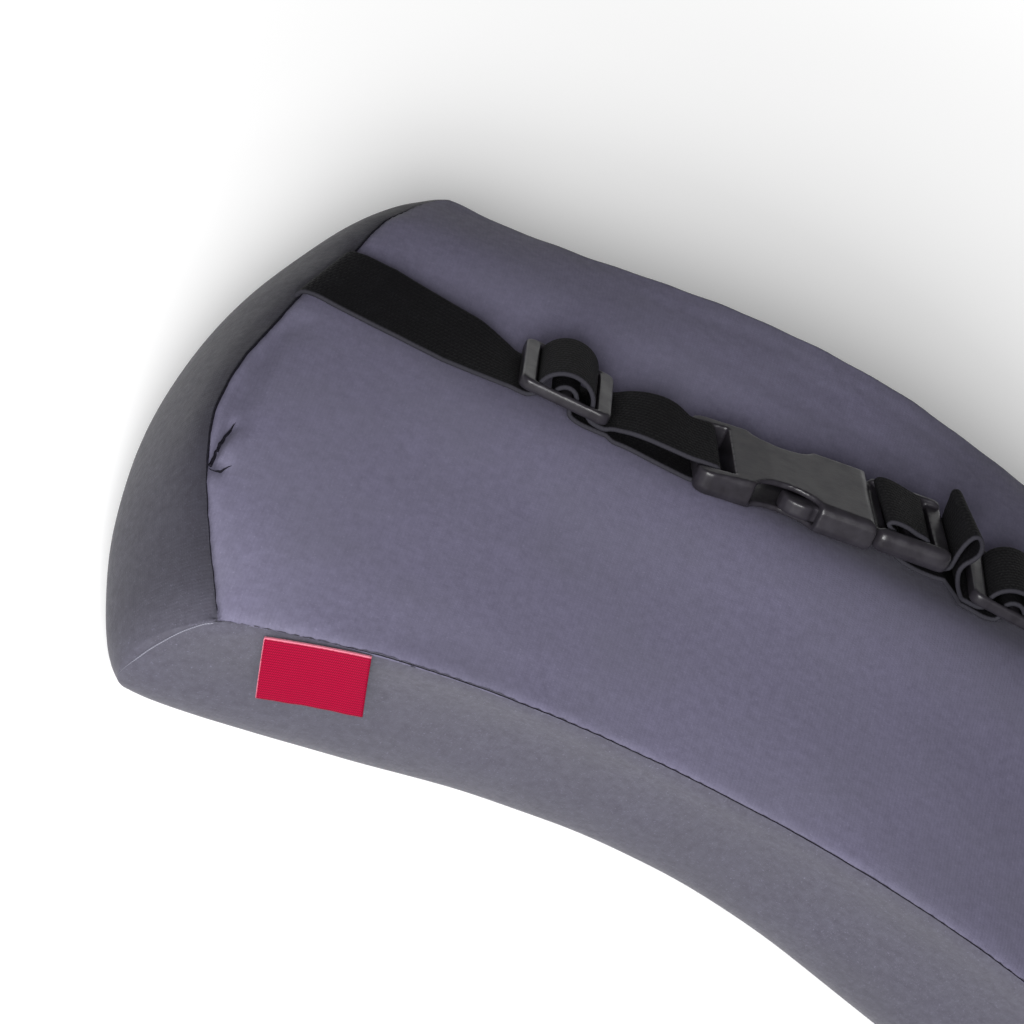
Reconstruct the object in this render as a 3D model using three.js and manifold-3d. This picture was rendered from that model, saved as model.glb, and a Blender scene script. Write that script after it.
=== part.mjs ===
// Memory foam headrest pillow, lying on its neck side with the strap side up.
// Millimetres, +X along the strap, +Y towards the pillow's top edge, +Z up.
// The origin is on the surface that it rests on, under the middle of the pillow.

import * as THREE from 'three';
import { mergeVertices } from 'three/addons/utils/BufferGeometryUtils.js';
import Module from 'manifold-3d';

// Cushion: the lines that run its length. Each gives its place across and its height at the
// middle and at the ends, half its length, and how far it bows off that curve on the way out.
const LINES = {
  lowerSeam: { yMid: -80.5, yEnd: -92, zMid: 68, zEnd: 54, half: 123.5, yBow: -4.5, zBow: 7 },
  lowerBack: { yMid: -32, yEnd: -40.5, zMid: 68.5, zEnd: 60.5, half: 143, yBow: 0, zBow: 0 },
  ridge: { yMid: 4, yEnd: 10, zMid: 70.5, zEnd: 56.5, half: 136, yBow: 0, zBow: 0 },
  strapValley: { yMid: 31, yEnd: 36.5, zMid: 58.5, zEnd: 53.5, half: 127, yBow: 0, zBow: 0 },
  upperBack: { yMid: 58.5, yEnd: 62, zMid: 59, zEnd: 49.5, half: 120, yBow: 0, zBow: 0 },
  upperSeam: { yMid: 84, yEnd: 88, zMid: 58, zEnd: 41, half: 106, yBow: -4, zBow: -1 },
  lowerSide: { yMid: -73, yEnd: -91, zMid: 38, zEnd: 22.5, half: 136.5, yBow: -1, zBow: 0 },
  lowerFront: { yMid: -55, yEnd: -65, zMid: 0, zEnd: 0, half: 114.5, yBow: 0, zBow: 0 },
  upperSide: { yMid: 87.5, yEnd: 92, zMid: 36, zEnd: 22.5, half: 112.5, yBow: 0, zBow: 0 },
  upperFront: { yMid: 62, yEnd: 69, zMid: 0, zEnd: 0, half: 99.5, yBow: 0, zBow: 0 },
};
const BACK_LINES = ['lowerSeam', 'lowerBack', 'ridge', 'strapValley', 'upperBack', 'upperSeam'];
const endSideBow = 25.5;
const endFrontBow = 20;
const neckHollowDepth = 12;
const neckHollowReach = 0.78;
const channelDepth = 1.5;
const cornerChannelDepth = 0.5;
const channelWidth = 3.2;
// The corners down the short seams are rounded off, by this much at the seam and at the side.
const cornerReach = 9;
const LOWER_CORNER = { atSeam: 1.8, atSide: 5 };
const UPPER_CORNER = { atSeam: 1.5, atSide: 1.5 };
const lengthSteps = 36;
const acrossSteps = 20;
const sideSteps = 8;

// Webbing, and how it lies on the cushion.
const web = { width: 25, thick: 1.2 };
const clear = 0.52;
const seamLean = 5;

// The strap's middle line over the cushion, which wanders a little between its sewn ends.
const STRAP_LINE = [
  { x: -130, y: 26.5 },
  { x: -107, y: 22 },
  { x: -83, y: 15.8 },
  { x: -72, y: 14.4 },
  { x: -55, y: 14.4 },
  { x: -33, y: 12.5 },
  { x: 37, y: 21.2 },
  { x: 45, y: 22 },
  { x: 71, y: 22.5 },
  { x: 93, y: 22.6 },
  { x: 130, y: 24 },
];

// Sliders: a plate with two slots and a pin between them. lift is the height of its underside.
const slider = { length: 24, width: 28.8, thick: 3.2, pin: 3, slotLong: 26, slotWide: 6.5, lift: 3.2 };
const sliderLeftX = -66.3;
const sliderRightX = 57.5;

// Side release buckle: the socket, and the plug that is pushed into it.
const socket = {
  middle: -8.5, length: 47, mouthWidth: 33, waist: 31.6, endWidth: 33.6, thick: 8, wall: 1.5,
  bar: 4.6, slot: 5, windowLong: 17.5, windowDeep: 5.6, endDrop: 1.6,
};
const plug = {
  reach: 20.5, width: 32.4, thick: 6.2, bridge: 3, innerBar: 3.4, innerBarAt: 10.5, bar: 4,
  prong: 25, prongThick: 4.2,
};
const barThick = 3.2;

// How far the strap's seats are turned from the panel under them: their rise and drift along the
// strap, radians across it, and how far they are lifted.
const noTurn = { rise: 0, drift: 0, across: 0, lift: 0 };
const TURNS = {
  strapLeft: { ...noTurn, across: 0.08 },
  sliderLeft: { ...noTurn, rise: -0.03, drift: 0.05, across: -0.09 },
  buckle: { ...noTurn, rise: 0.11, across: 0.05 },
  sliderRight: { ...noTurn, rise: 0.03, lift: 1.2 },
};
const barHeight = socket.thick / 2;

// Label, folded double and sewn into the lower seam. start and end are its sides' distances from
// the middle of the cushion, and hang is where its free edge lies from the seam.
const label = { start: -112.5, end: -88.5, thick: 0.9, out: 0.96, curl: 0.7, hang: [5.2, -6, -13] };

const FINISH = {
  cover: new THREE.MeshStandardMaterial({ color: 0x6c6a7d, roughness: 0.8, metalness: 0 }),
  webbing: new THREE.MeshStandardMaterial({ color: 0x15151a, roughness: 0.85, metalness: 0 }),
  plastic: new THREE.MeshStandardMaterial({ color: 0x4a4a4e, roughness: 0.45, metalness: 0 }),
  label: new THREE.MeshStandardMaterial({ color: 0xb80d3c, roughness: 0.7, metalness: 0 }),
};

const { lerp } = THREE.MathUtils;
const part = new THREE.Group();

function addPiece(name, geometry, material, parent = part) {
  const mesh = new THREE.Mesh(geometry, material);
  mesh.name = name;
  parent.add(mesh);
  return mesh;
}

// A closed mesh from loose triangles, with the corners that coincide made one.
function closedGeometry(triangles) {
  const geometry = new THREE.BufferGeometry();
  const numbers = triangles.flatMap((corner) => corner.toArray());
  geometry.setAttribute('position', new THREE.Float32BufferAttribute(numbers, 3));
  return mergeVertices(geometry, 1e-3);
}

// Two triangles for each cell of a grid of points, facing the other way when flipped.
function gridTriangles(rows, flipped) {
  const triangles = [];
  for (let i = 0; i + 1 < rows.length; i += 1) {
    for (let j = 0; j + 1 < rows[i].length; j += 1) {
      const cell = [rows[i][j], rows[i + 1][j], rows[i + 1][j + 1], rows[i][j + 1]];
      const [a, b, c, d] = flipped ? cell.reverse() : cell;
      triangles.push(a, b, c, a, c, d);
    }
  }
  return triangles;
}

// Cushion

// A line of the cushion at station u, which runs from -1 at the left end to 1 at the right end.
function linePoint(name, u) {
  const line = LINES[name];
  const square = u * u;
  const bow = 4 * square * (1 - square);
  return new THREE.Vector3(
    u * line.half,
    lerp(line.yMid, line.yEnd, square) + line.yBow * bow,
    lerp(line.zMid, line.zEnd, square) + line.zBow * bow,
  );
}

// The neck side is hollowed along its length, so that the cushion rests on its two lobes.
function neckHeight(u) {
  const reach = Math.min(1, Math.abs(u) / neckHollowReach);
  return neckHollowDepth * (1 - reach * reach) ** 2;
}

function frontPoint(name, u) {
  return linePoint(name, u).setZ(neckHeight(u));
}

// The back panel, from the lower seam at v = 0 to the upper seam at v = 1.
function backPoint(u, v) {
  const knots = BACK_LINES.map((name) => linePoint(name, u));
  return new THREE.CatmullRomCurve3(knots, false, 'catmullrom', 0.5).getPoint(v);
}

// A side panel: it swells from the seam at t = 0 to its widest line at 1, then turns in
// under the cushion to the front at 2.
function sidePoint(seam, side, front, t) {
  const point = side.clone();
  if (t <= 1) {
    const share = (1 - t) ** 2;
    point.x += (seam.x - side.x) * share;
    point.y += (seam.y - side.y) * share;
    point.z = lerp(seam.z, side.z, t);
    return point;
  }
  const turn = ((t - 1) * Math.PI) / 2;
  const inward = 1 - Math.cos(turn);
  point.x += (front.x - side.x) * inward;
  point.y += (front.y - side.y) * inward;
  point.z += (front.z - side.z) * Math.sin(turn);
  return point;
}

function lowerPanelPoint(u, t) {
  return sidePoint(linePoint('lowerSeam', u), linePoint('lowerSide', u), frontPoint('lowerFront', u), t);
}

function upperPanelPoint(u, t) {
  return sidePoint(linePoint('upperSeam', u), linePoint('upperSide', u), frontPoint('upperFront', u), t);
}

// How far row v is on the way from the lower seam to the upper seam, at the pillow's end.
function shareAcross(v) {
  const [first, here, last] = [0, v, 1].map((at) => backPoint(1, at).y);
  return (here - first) / (last - first);
}

function bowed(from, to, share, bow) {
  const point = from.clone().lerp(to, share);
  point.x += bow * 4 * share * (1 - share);
  return point;
}

// An end panel, at the end u = -1 or u = 1.
function endPanelPoint(u, v, t) {
  const share = shareAcross(v);
  const side = bowed(linePoint('lowerSide', u), linePoint('upperSide', u), share, u * endSideBow);
  const front = bowed(frontPoint('lowerFront', u), frontPoint('upperFront', u), share, u * endFrontBow);
  return sidePoint(backPoint(u, v), side, front, t);
}

// The neck side.
function neckPoint(u, v) {
  const lower = frontPoint('lowerFront', u);
  const upper = frontPoint('upperFront', u);
  return bowed(lower, upper, shareAcross(v), u ** 3 * endFrontBow);
}

// Stations from 0 to 1, closer together towards both ends.
function stations(count, crowding) {
  return Array.from({ length: count + 1 }, (_, i) => {
    const even = i / count;
    return lerp(even, (1 - Math.cos(Math.PI * even)) / 2, crowding);
  });
}

const alongStations = stations(lengthSteps, 0.6).map((share) => 2 * share - 1);
const acrossStations = stations(acrossSteps, 0.7);
const downStations = stations(sideSteps, 0).map((share) => 2 * share);

// Seams: lower, upper, the two end seams, and the four short ones down the corners.
const seamPoints = [];
for (const u of stations(90, 0).map((share) => 2 * share - 1)) {
  seamPoints.push({ point: backPoint(u, 0), depth: channelDepth });
  seamPoints.push({ point: backPoint(u, 1), depth: channelDepth });
}
for (const end of [-1, 1]) {
  for (const v of stations(70, 0)) {
    seamPoints.push({ point: backPoint(end, v), depth: channelDepth });
  }
  for (const t of stations(24, 0).map((share) => 1.5 * share)) {
    seamPoints.push({ point: lowerPanelPoint(end, t), depth: cornerChannelDepth });
    seamPoints.push({ point: upperPanelPoint(end, t), depth: cornerChannelDepth });
  }
}

// The corners' lines, from the seam down to the front.
const cornerPoints = [];
for (const end of [-1, 1]) {
  for (const t of stations(32, 0).map((share) => 2 * share)) {
    const down = Math.min(1, t);
    const lowerDepth = lerp(LOWER_CORNER.atSeam, LOWER_CORNER.atSide, down);
    const upperDepth = lerp(UPPER_CORNER.atSeam, UPPER_CORNER.atSide, down);
    cornerPoints.push({ point: lowerPanelPoint(end, t), depth: lowerDepth });
    cornerPoints.push({ point: upperPanelPoint(end, t), depth: upperDepth });
  }
}

// The gap from a point to the nearest of some marks, and that mark's depth.
function nearestOf(marks, point) {
  let nearest = { gap: Infinity, depth: 0 };
  for (const mark of marks) {
    const gap = mark.point.distanceTo(point);
    if (gap < nearest.gap) {
      nearest = { gap, depth: mark.depth };
    }
  }
  return nearest;
}

// Draws a point of the cover in near the seams, which makes the sewn channels, and at the corners.
function drawnIn(point) {
  const seam = nearestOf(seamPoints, point);
  const corner = nearestOf(cornerPoints, point);
  const channel = seam.depth * Math.exp(-((seam.gap / channelWidth) ** 2));
  const rounding = corner.depth * Math.max(0, Math.exp(-corner.gap / cornerReach) - Math.exp(-4));
  const heart = new THREE.Vector3(point.x * 0.6, 0, LINES.lowerSide.zMid);
  return point.clone().add(heart.sub(point).setLength(channel + rounding));
}

function cushionGeometry() {
  const grid = (rows, columns, at) => rows.map((row) => columns.map((column) => at(row, column)));
  const sunk = (at) => (row, column) => drawnIn(at(row, column));
  const leftEnd = (v, t) => endPanelPoint(-1, v, t);
  const rightEnd = (v, t) => endPanelPoint(1, v, t);
  return closedGeometry([
    ...gridTriangles(grid(alongStations, acrossStations, sunk(backPoint)), false),
    ...gridTriangles(grid(alongStations, acrossStations, sunk(neckPoint)), true),
    ...gridTriangles(grid(alongStations, downStations, sunk(lowerPanelPoint)), true),
    ...gridTriangles(grid(alongStations, downStations, sunk(upperPanelPoint)), false),
    ...gridTriangles(grid(acrossStations, downStations, sunk(leftEnd)), false),
    ...gridTriangles(grid(acrossStations, downStations, sunk(rightEnd)), true),
  ]);
}

addPiece('cushion', cushionGeometry(), FINISH.cover);

// Label: a rectangle that hangs out from the lower seam, curling a little.
function labelGeometry() {
  const half = LINES.lowerSeam.half;
  const hang = new THREE.Vector3(...label.hang);
  const seamAt = (across) => lowerPanelPoint(lerp(label.start, label.end, across) / half, 0);
  const outward = hang.clone().cross(seamAt(1).sub(seamAt(0))).normalize();
  const columns = stations(6, 0);
  const rows = stations(5, 0);
  const face = (lift) => columns.map((across) => rows.map((down) => (
    drawnIn(seamAt(across))
      .addScaledVector(outward, label.out + lift + label.curl * 4 * down * (1 - down))
      .addScaledVector(hang, down)
  )));
  const inner = face(-label.thick / 2);
  const outer = face(label.thick / 2);
  const last = columns.length - 1;
  const bottom = rows.length - 1;
  return closedGeometry([
    ...gridTriangles(inner, false),
    ...gridTriangles(outer, true),
    ...gridTriangles(columns.map((_, i) => [inner[i][0], outer[i][0]]), true),
    ...gridTriangles(columns.map((_, i) => [inner[i][bottom], outer[i][bottom]]), false),
    ...gridTriangles(rows.map((_, j) => [inner[0][j], outer[0][j]]), false),
    ...gridTriangles(rows.map((_, j) => [inner[last][j], outer[last][j]]), true),
  ]);
}

addPiece('label', labelGeometry(), FINISH.label);

// Seat of the strap

// Height of the back panel over a point of the floor.
function backHeight(x, y) {
  let low = 0;
  let high = 1;
  for (let i = 0; i < 30; i += 1) {
    const v = (low + high) / 2;
    if (backPoint(x / backPoint(1, v).x, v).y < y) {
      low = v;
    } else {
      high = v;
    }
  }
  return backPoint(x / backPoint(1, low).x, low).z;
}

// Where the strap's middle line is across the cushion at x.
function strapY(x) {
  const found = STRAP_LINE.findIndex((knot) => knot.x >= x);
  const after = found < 0 ? STRAP_LINE.length - 1 : Math.max(1, found);
  const [start, end] = [STRAP_LINE[after - 1], STRAP_LINE[after]];
  return lerp(start.y, end.y, (x - start.x) / (end.x - start.x));
}

// A flat seat for the strap from one x to another. It is tilted across like the back panel, then
// turned a little, and is raised until it clears the panel over a width.
function seatFor(from, to, width, turned) {
  const x = (from + to) / 2;
  const y = strapY(x);
  const reach = web.width * 0.44;
  const span = Math.max(6, to - from);
  const level = (at) => (backHeight(at, strapY(at) - reach) + backHeight(at, strapY(at) + reach)) / 2;
  const fall = backHeight(x, y + reach) - backHeight(x, y - reach);
  const tilt = Math.atan2(fall, 2 * reach) + turned.across;
  const drift = (strapY(x + span / 2) - strapY(x - span / 2)) / span + turned.drift;
  const slope = (level(x + span / 2) - level(x - span / 2)) / span + turned.rise;
  const across = new THREE.Vector3(0, Math.cos(tilt), Math.sin(tilt));
  const along = new THREE.Vector3(1, drift, slope).normalize();
  across.addScaledVector(along, -across.dot(along)).normalize();
  const middle = new THREE.Vector3(x, y, level(x));
  let lift = -Infinity;
  for (const forward of stations(8, 0).map((share) => (share - 0.5) * (to - from))) {
    for (const aside of stations(14, 0).map((share) => (share - 0.5) * width)) {
      const spot = middle.clone().addScaledVector(along, forward).addScaledVector(across, aside);
      lift = Math.max(lift, backHeight(spot.x, spot.y) - spot.z);
    }
  }
  middle.z += lift + clear / Math.cos(tilt) + turned.lift;
  return { from, to, x, middle, along, across };
}

function softSeat(x, turned = noTurn) {
  return seatFor(x, x, web.width + 1, turned);
}

const plugEnd = socket.middle + socket.length / 2 + plug.reach;
const sliderReach = slider.length / 2 + 1;
const seats = [
  softSeat(-129),
  ...[-117, -105, -93].map((x) => softSeat(x, TURNS.strapLeft)),
  seatFor(sliderLeftX - sliderReach, sliderLeftX + sliderReach, slider.width, TURNS.sliderLeft),
  softSeat(-50),
  softSeat(-42),
  seatFor(socket.middle - socket.length / 2 - 1, plugEnd + 1, socket.mouthWidth, TURNS.buckle),
  seatFor(sliderRightX - sliderReach, sliderRightX + sliderReach, slider.width, TURNS.sliderRight),
  ...[82, 93, 105, 117, 129].map((x) => softSeat(x)),
];

// The strap's plane at any x, as a middle and three directions.
function strapFrame(x) {
  const before = [...seats].reverse().find((seat) => seat.from <= x) ?? seats[0];
  const after = seats.find((seat) => seat.to >= x) ?? seats[seats.length - 1];
  const pointOn = (seat, at) => seat.middle.clone().addScaledVector(seat.along, at - seat.x);
  if (before === after) {
    const up = before.along.clone().cross(before.across);
    return { middle: pointOn(before, x), along: before.along, across: before.across, up };
  }
  const start = pointOn(before, before.to);
  const finish = pointOn(after, after.from);
  const share = (x - before.to) / (after.from - before.to);
  const along = before.along.clone().lerp(after.along, share).normalize();
  const across = before.across.clone().lerp(after.across, share);
  across.addScaledVector(along, -across.dot(along)).normalize();
  return { middle: start.lerp(finish, share), along, across, up: along.clone().cross(across) };
}

// A group whose X, Y and Z run along, across and up from the strap's plane at x.
function groupOnStrap(x) {
  const { middle, along, across, up } = strapFrame(x);
  const group = new THREE.Group();
  group.position.copy(middle);
  group.quaternion.setFromRotationMatrix(new THREE.Matrix4().makeBasis(along, across, up));
  part.add(group);
  return group;
}

// Webbing

const lay = web.thick / 2;
const pinHeight = slider.lift + slider.thick / 2;
const loopRadius = Math.hypot(slider.pin / 2, slider.thick / 2) + lay + 0.1;
const hump = { along: 7.05, up: 6.2 };

// Points of a route round a slider's pin, from one angle in degrees to another.
function turn(middleX, along, up, from, to) {
  const steps = Math.ceil(Math.abs(to - from) / 20);
  return stations(steps, 0).map((share) => {
    const angle = THREE.MathUtils.degToRad(lerp(from, to, share));
    return [middleX + along * Math.cos(angle), pinHeight + up * Math.sin(angle)];
  });
}

// The webbing comes in under a slider's bar, from the left or the right, goes over the pin in a
// loose hump, and leaves under the other bar.
function overPin(middleX, side) {
  const under = [[16.5, 1.6], [12.5, 1.6], [9.6, 1.6], [8.3, 1.9], [7.4, 2.5]];
  const away = [[7.5, 2.7], [8.6, 2.2], [12, 2.1]];
  const over = side < 0 ? [195, -14] : [-15, 194];
  return [
    ...under.map(([offset, height]) => [middleX + side * offset, height]),
    ...turn(middleX, hump.along, hump.up, ...over),
    ...away.map(([offset, height]) => [middleX - side * offset, height]),
  ];
}

// Sweeps the webbing's section along a route of [x, height above the strap's plane, lean], where
// lean is how far the section's far edge is ahead of its near edge.
function webbingGeometry(route) {
  const frames = route.map(([x, height]) => {
    const frame = strapFrame(x);
    return { ...frame, centre: frame.middle.clone().addScaledVector(frame.up, height) };
  });
  const sections = route.map(([, , lean = 0], i) => {
    const { centre, along, across } = frames[i];
    const before = frames[Math.max(0, i - 1)].centre;
    const after = frames[Math.min(route.length - 1, i + 1)].centre;
    const outward = after.clone().sub(before).cross(across).normalize();
    return [[-1, -1], [1, -1], [1, 1], [-1, 1], [-1, -1]].map(([side, face]) => (
      centre.clone()
        .addScaledVector(across, (side * web.width) / 2)
        .addScaledVector(along, (side * lean) / 2)
        .addScaledVector(outward, face * lay)
    ));
  });
  const first = sections[0];
  const last = sections[sections.length - 1];
  return closedGeometry([
    ...gridTriangles(sections, true),
    first[0], first[3], first[2], first[0], first[2], first[1],
    last[0], last[1], last[2], last[0], last[2], last[3],
  ]);
}

// From the left end seam, over the left slider's pin, round the socket's bar and back to the pin.
const socketEnd = socket.middle - socket.length / 2;
const socketSlot = socketEnd + socket.bar;
const leftRoute = [
  [-129.5, lay + 0.2, seamLean], [-124, lay + 0.1, seamLean / 2], [-117, lay], [-105, 0.9],
  [-93, 1.5],
  ...overPin(sliderLeftX, -1),
  [-52.6, 3.3], [-50.4, 5.2], [-47, 7], [-43, 8], [-38.5, 8.1], [-34.5, 7.4], [socketEnd, 6.8],
  [socketSlot - 0.8, 6.7], [socketSlot + 0.7, 6.4], [socketSlot + 1.3, 5.4],
  [socketSlot + 1.3, 2.8], [socketSlot + 0.9, 1.7], [socketSlot - 0.8, 1.2], [socketEnd, 1.2],
  [-38, 1.3], [-46, 1.4], [-52, 0.9], [-61, 0.68], [-63.4, 1.5],
  ...turn(sliderLeftX, loopRadius, loopRadius, -38, 215),
];
addPiece('strap_left', webbingGeometry(leftRoute), FINISH.webbing);

// From the right end seam, over the right slider's pin, up in a slack loop, under the plug's end
// bar, over its inner bar, down through it and back under the end bar to the pin.
const plugMouth = socket.middle + socket.length / 2;
const innerBarX = plugMouth + plug.innerBarAt;
const rightRoute = [
  [129.5, lay + 0.4, -seamLean], [124, lay + 0.2, -seamLean / 2], [117, lay], [105, lay],
  [93, lay], [82, 0.9],
  ...overPin(sliderRightX, 1),
  [43, 2.1], [40.4, 2.4, -1], [38.9, 3.9, -1.5], [39, 6.2, -2], [39.9, 9, -3], [40.5, 11.6, -3.5],
  [40.1, 13.4, -3.5], [38.8, 14, -3.5], [37.6, 12.8, -3], [37.1, 10.2, -1.5], [36.9, 7, -0.5],
  [36.9, 4], [36.6, 2.2], [35, 1.2], [33, 1], [31, 1],
  [29.8, 1.5], [29.4, 2.9], [29.35, 5], [28.6, 6.8], [innerBarX, 7.6], [22, 8.4, -1],
  [19.4, 8.6, -1], [18, 8.3, -1], [17.5, 7.6, -1], [18.3, 6.8, -1], [20, 6.2], [20.9, 4.6],
  [20.9, 2], [22, 0.8], [24.6, -0.4], [28, -1.2], [32, -1.6], [36, -1.5], [40, -0.3],
  [43.4, 0.6], [47, 0.68], [52.2, 0.68], [54.6, 1.5],
  ...turn(sliderRightX, loopRadius, loopRadius, 218, -35),
];
addPiece('strap_right', webbingGeometry(rightRoute), FINISH.webbing);

// Plates and solids

function roundedRect(shape, width, height, radius, x = 0, y = 0) {
  const left = x - width / 2;
  const right = x + width / 2;
  const low = y - height / 2;
  const high = y + height / 2;
  shape.moveTo(left + radius, low);
  shape.lineTo(right - radius, low);
  shape.absarc(right - radius, low + radius, radius, -Math.PI / 2, 0, false);
  shape.lineTo(right, high - radius);
  shape.absarc(right - radius, high - radius, radius, 0, Math.PI / 2, false);
  shape.lineTo(left + radius, high);
  shape.absarc(left + radius, high - radius, radius, Math.PI / 2, Math.PI, false);
  shape.lineTo(left, low + radius);
  shape.absarc(left + radius, low + radius, radius, Math.PI, 1.5 * Math.PI, false);
  return shape;
}

// A plate of a shape, its rim rounded by bevel, from height low to height high.
function plate(shape, low, high, bevel, curveSegments = 4) {
  const geometry = new THREE.ExtrudeGeometry(shape, {
    depth: high - low - 2 * bevel,
    bevelEnabled: bevel > 0,
    bevelSize: bevel,
    bevelThickness: bevel,
    bevelOffset: -bevel,
    bevelSegments: 2,
    curveSegments,
  });
  return geometry.translate(0, 0, low + bevel);
}

// Slider
function sliderGeometry() {
  const shape = roundedRect(new THREE.Shape(), slider.length, slider.width, 2.6);
  for (const side of [-1, 1]) {
    const slotX = side * (slider.pin / 2 + slider.slotWide / 2);
    shape.holes.push(roundedRect(new THREE.Path(), slider.slotWide, slider.slotLong, 0.5, slotX));
  }
  return plate(shape, slider.lift, slider.lift + slider.thick, 0.6, 3);
}

addPiece('slider_left', sliderGeometry(), FINISH.plastic, groupOnStrap(sliderLeftX));
addPiece('slider_right', sliderGeometry(), FINISH.plastic, groupOnStrap(sliderRightX));

// Buckle: its two halves are joined and cut as solids.
const wasm = await Module();
wasm.setup();

function solidOf(geometry) {
  const bare = geometry.clone();
  bare.deleteAttribute('normal');
  bare.deleteAttribute('uv');
  const merged = mergeVertices(bare, 1e-4);
  return new wasm.Manifold(new wasm.Mesh({
    numProp: 3,
    vertProperties: new Float32Array(merged.attributes.position.array),
    triVerts: new Uint32Array(merged.index.array),
  }));
}

function geometryOf(solid) {
  const mesh = solid.getMesh();
  const geometry = new THREE.BufferGeometry();
  geometry.setAttribute('position', new THREE.BufferAttribute(mesh.vertProperties, 3));
  geometry.setIndex(new THREE.BufferAttribute(mesh.triVerts, 1));
  return geometry;
}

// A block between two corners.
function block(low, high) {
  const size = high.map((value, axis) => value - low[axis]);
  const middle = high.map((value, axis) => (value + low[axis]) / 2);
  return solidOf(new THREE.BoxGeometry(...size).translate(...middle));
}

const socketHalf = socket.length / 2;
const webSlotHalf = web.width / 2 + 0.6;
const plugHalf = plug.width / 2;

function socketGeometry() {
  const mouth = socket.mouthWidth / 2;
  const waist = socket.waist / 2;
  const end = socket.endWidth / 2;
  const outline = new THREE.Shape();
  outline.moveTo(socketHalf, -mouth);
  outline.lineTo(socketHalf, mouth);
  outline.quadraticCurveTo(socketHalf * 0.5, mouth, 0, waist);
  outline.quadraticCurveTo(-socketHalf * 0.5, waist, -socketHalf + 4, end);
  outline.quadraticCurveTo(-socketHalf, end, -socketHalf, end - 4);
  outline.lineTo(-socketHalf, -end + 4);
  outline.quadraticCurveTo(-socketHalf, -end, -socketHalf + 4, -end);
  outline.quadraticCurveTo(-socketHalf * 0.5, -waist, 0, -waist);
  outline.quadraticCurveTo(socketHalf * 0.5, -mouth, socketHalf, -mouth);
  let solid = solidOf(plate(outline, 0, socket.thick, 2));
  const slotFrom = -socketHalf + socket.bar;
  const slotTo = slotFrom + socket.slot;
  const inner = socket.thick - socket.wall;
  const wallIn = socket.wall + (socket.mouthWidth - socket.waist) / 2;
  const above = socket.thick + 1;
  const outside = -socketHalf - 1;
  const barTop = barHeight + barThick / 2;
  const barUnder = barHeight - barThick / 2;
  solid = solid
    .subtract(block([slotTo + 3, wallIn - mouth, socket.wall], [socketHalf + 1, mouth - wallIn, inner]))
    .subtract(block([slotFrom, -webSlotHalf, -1], [slotTo, webSlotHalf, above]))
    .subtract(block([outside, -webSlotHalf, barTop], [slotTo, webSlotHalf, above]))
    .subtract(block([outside, -webSlotHalf, -1], [slotTo, webSlotHalf, barUnder]));
  for (const side of [-1, 1]) {
    const opening = new THREE.CylinderGeometry(1, 1, socket.thick + 2, 28).rotateX(Math.PI / 2);
    opening.scale(socket.windowLong / 2, socket.windowDeep, 1);
    opening.translate(0, side * (waist + 0.4), socket.thick / 2);
    solid = solid.subtract(solidOf(opening));
  }
  const slope = new THREE.BoxGeometry(socketHalf, 2 * end + 2, 4).translate(-socketHalf / 2, 0, 2);
  slope.rotateY(-Math.atan2(socket.endDrop, socketHalf - 4)).translate(-4, 0, socket.thick);
  return geometryOf(solid.subtract(solidOf(slope)));
}

addPiece('buckle_socket', socketGeometry(), FINISH.plastic, groupOnStrap(socket.middle));

// The plug's frame stands outside the socket's mouth. Its prongs and guide are inside, 0.3 mm clear.
function plugGeometry() {
  const from = socketHalf + 0.35;
  const to = from + plug.reach - 0.35;
  const low = barHeight - plug.thick / 2;
  const high = barHeight + plug.thick / 2;
  const frame = roundedRect(new THREE.Shape(), to - from, plug.width, 2.4, (from + to) / 2);
  let solid = solidOf(plate(frame, low, high, 2));
  const barFrom = to - plug.bar;
  const innerFrom = socketHalf + plug.innerBarAt - plug.innerBar / 2;
  const innerTo = innerFrom + plug.innerBar;
  const barLow = barHeight - barThick / 2;
  const barHigh = barHeight + barThick / 2;
  solid = solid
    .subtract(block([from + plug.bridge, -webSlotHalf, low - 1], [innerFrom, webSlotHalf, high + 1]))
    .subtract(block([innerTo, -webSlotHalf, low - 1], [barFrom, webSlotHalf, high + 1]))
    .subtract(block([from - 1, -webSlotHalf, barHigh], [to + 1, webSlotHalf, high + 1]))
    .subtract(block([from - 1, -webSlotHalf, low - 1], [to + 1, webSlotHalf, barLow]));
  const prongOut = socket.waist / 2 - socket.wall - 0.35;
  const prong = new THREE.Shape();
  prong.moveTo(from + 1.5, prongOut - 3.4);
  prong.lineTo(from + 1.5, prongOut);
  prong.lineTo(7.4, prongOut);
  prong.quadraticCurveTo(6.8, prongOut + 1.1, 4.6, prongOut + 1.1);
  prong.quadraticCurveTo(-1, prongOut + 0.7, from - plug.prong, prongOut - 3.4);
  prong.quadraticCurveTo(from - plug.prong - 0.4, prongOut - 5.4, 2, prongOut - 4.2);
  const prongLow = barHeight - plug.prongThick / 2;
  const prongHigh = barHeight + plug.prongThick / 2;
  const upper = plate(prong, prongLow, prongHigh, 0.6);
  const lower = upper.clone().rotateX(Math.PI).translate(0, 0, 2 * barHeight);
  solid = solid.add(solidOf(upper)).add(solidOf(lower));
  solid = solid.add(block([from - 17, -3, prongLow + 1], [from + 1.5, 3, prongHigh - 1]));
  return geometryOf(solid);
}

addPiece('buckle_plug', plugGeometry(), FINISH.plastic, groupOnStrap(socket.middle));

// The origin goes to the middle of the finished part, on the surface that it rests on.
const bounds = new THREE.Box3().setFromObject(part, true);
part.position.set(0, -(bounds.min.y + bounds.max.y) / 2, -bounds.min.z);

export default part;
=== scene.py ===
import math

import bmesh
import bpy
import numpy as np
from mathutils import Matrix, Vector, noise
from mathutils.bvhtree import BVHTree
from mathutils.kdtree import KDTree


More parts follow.
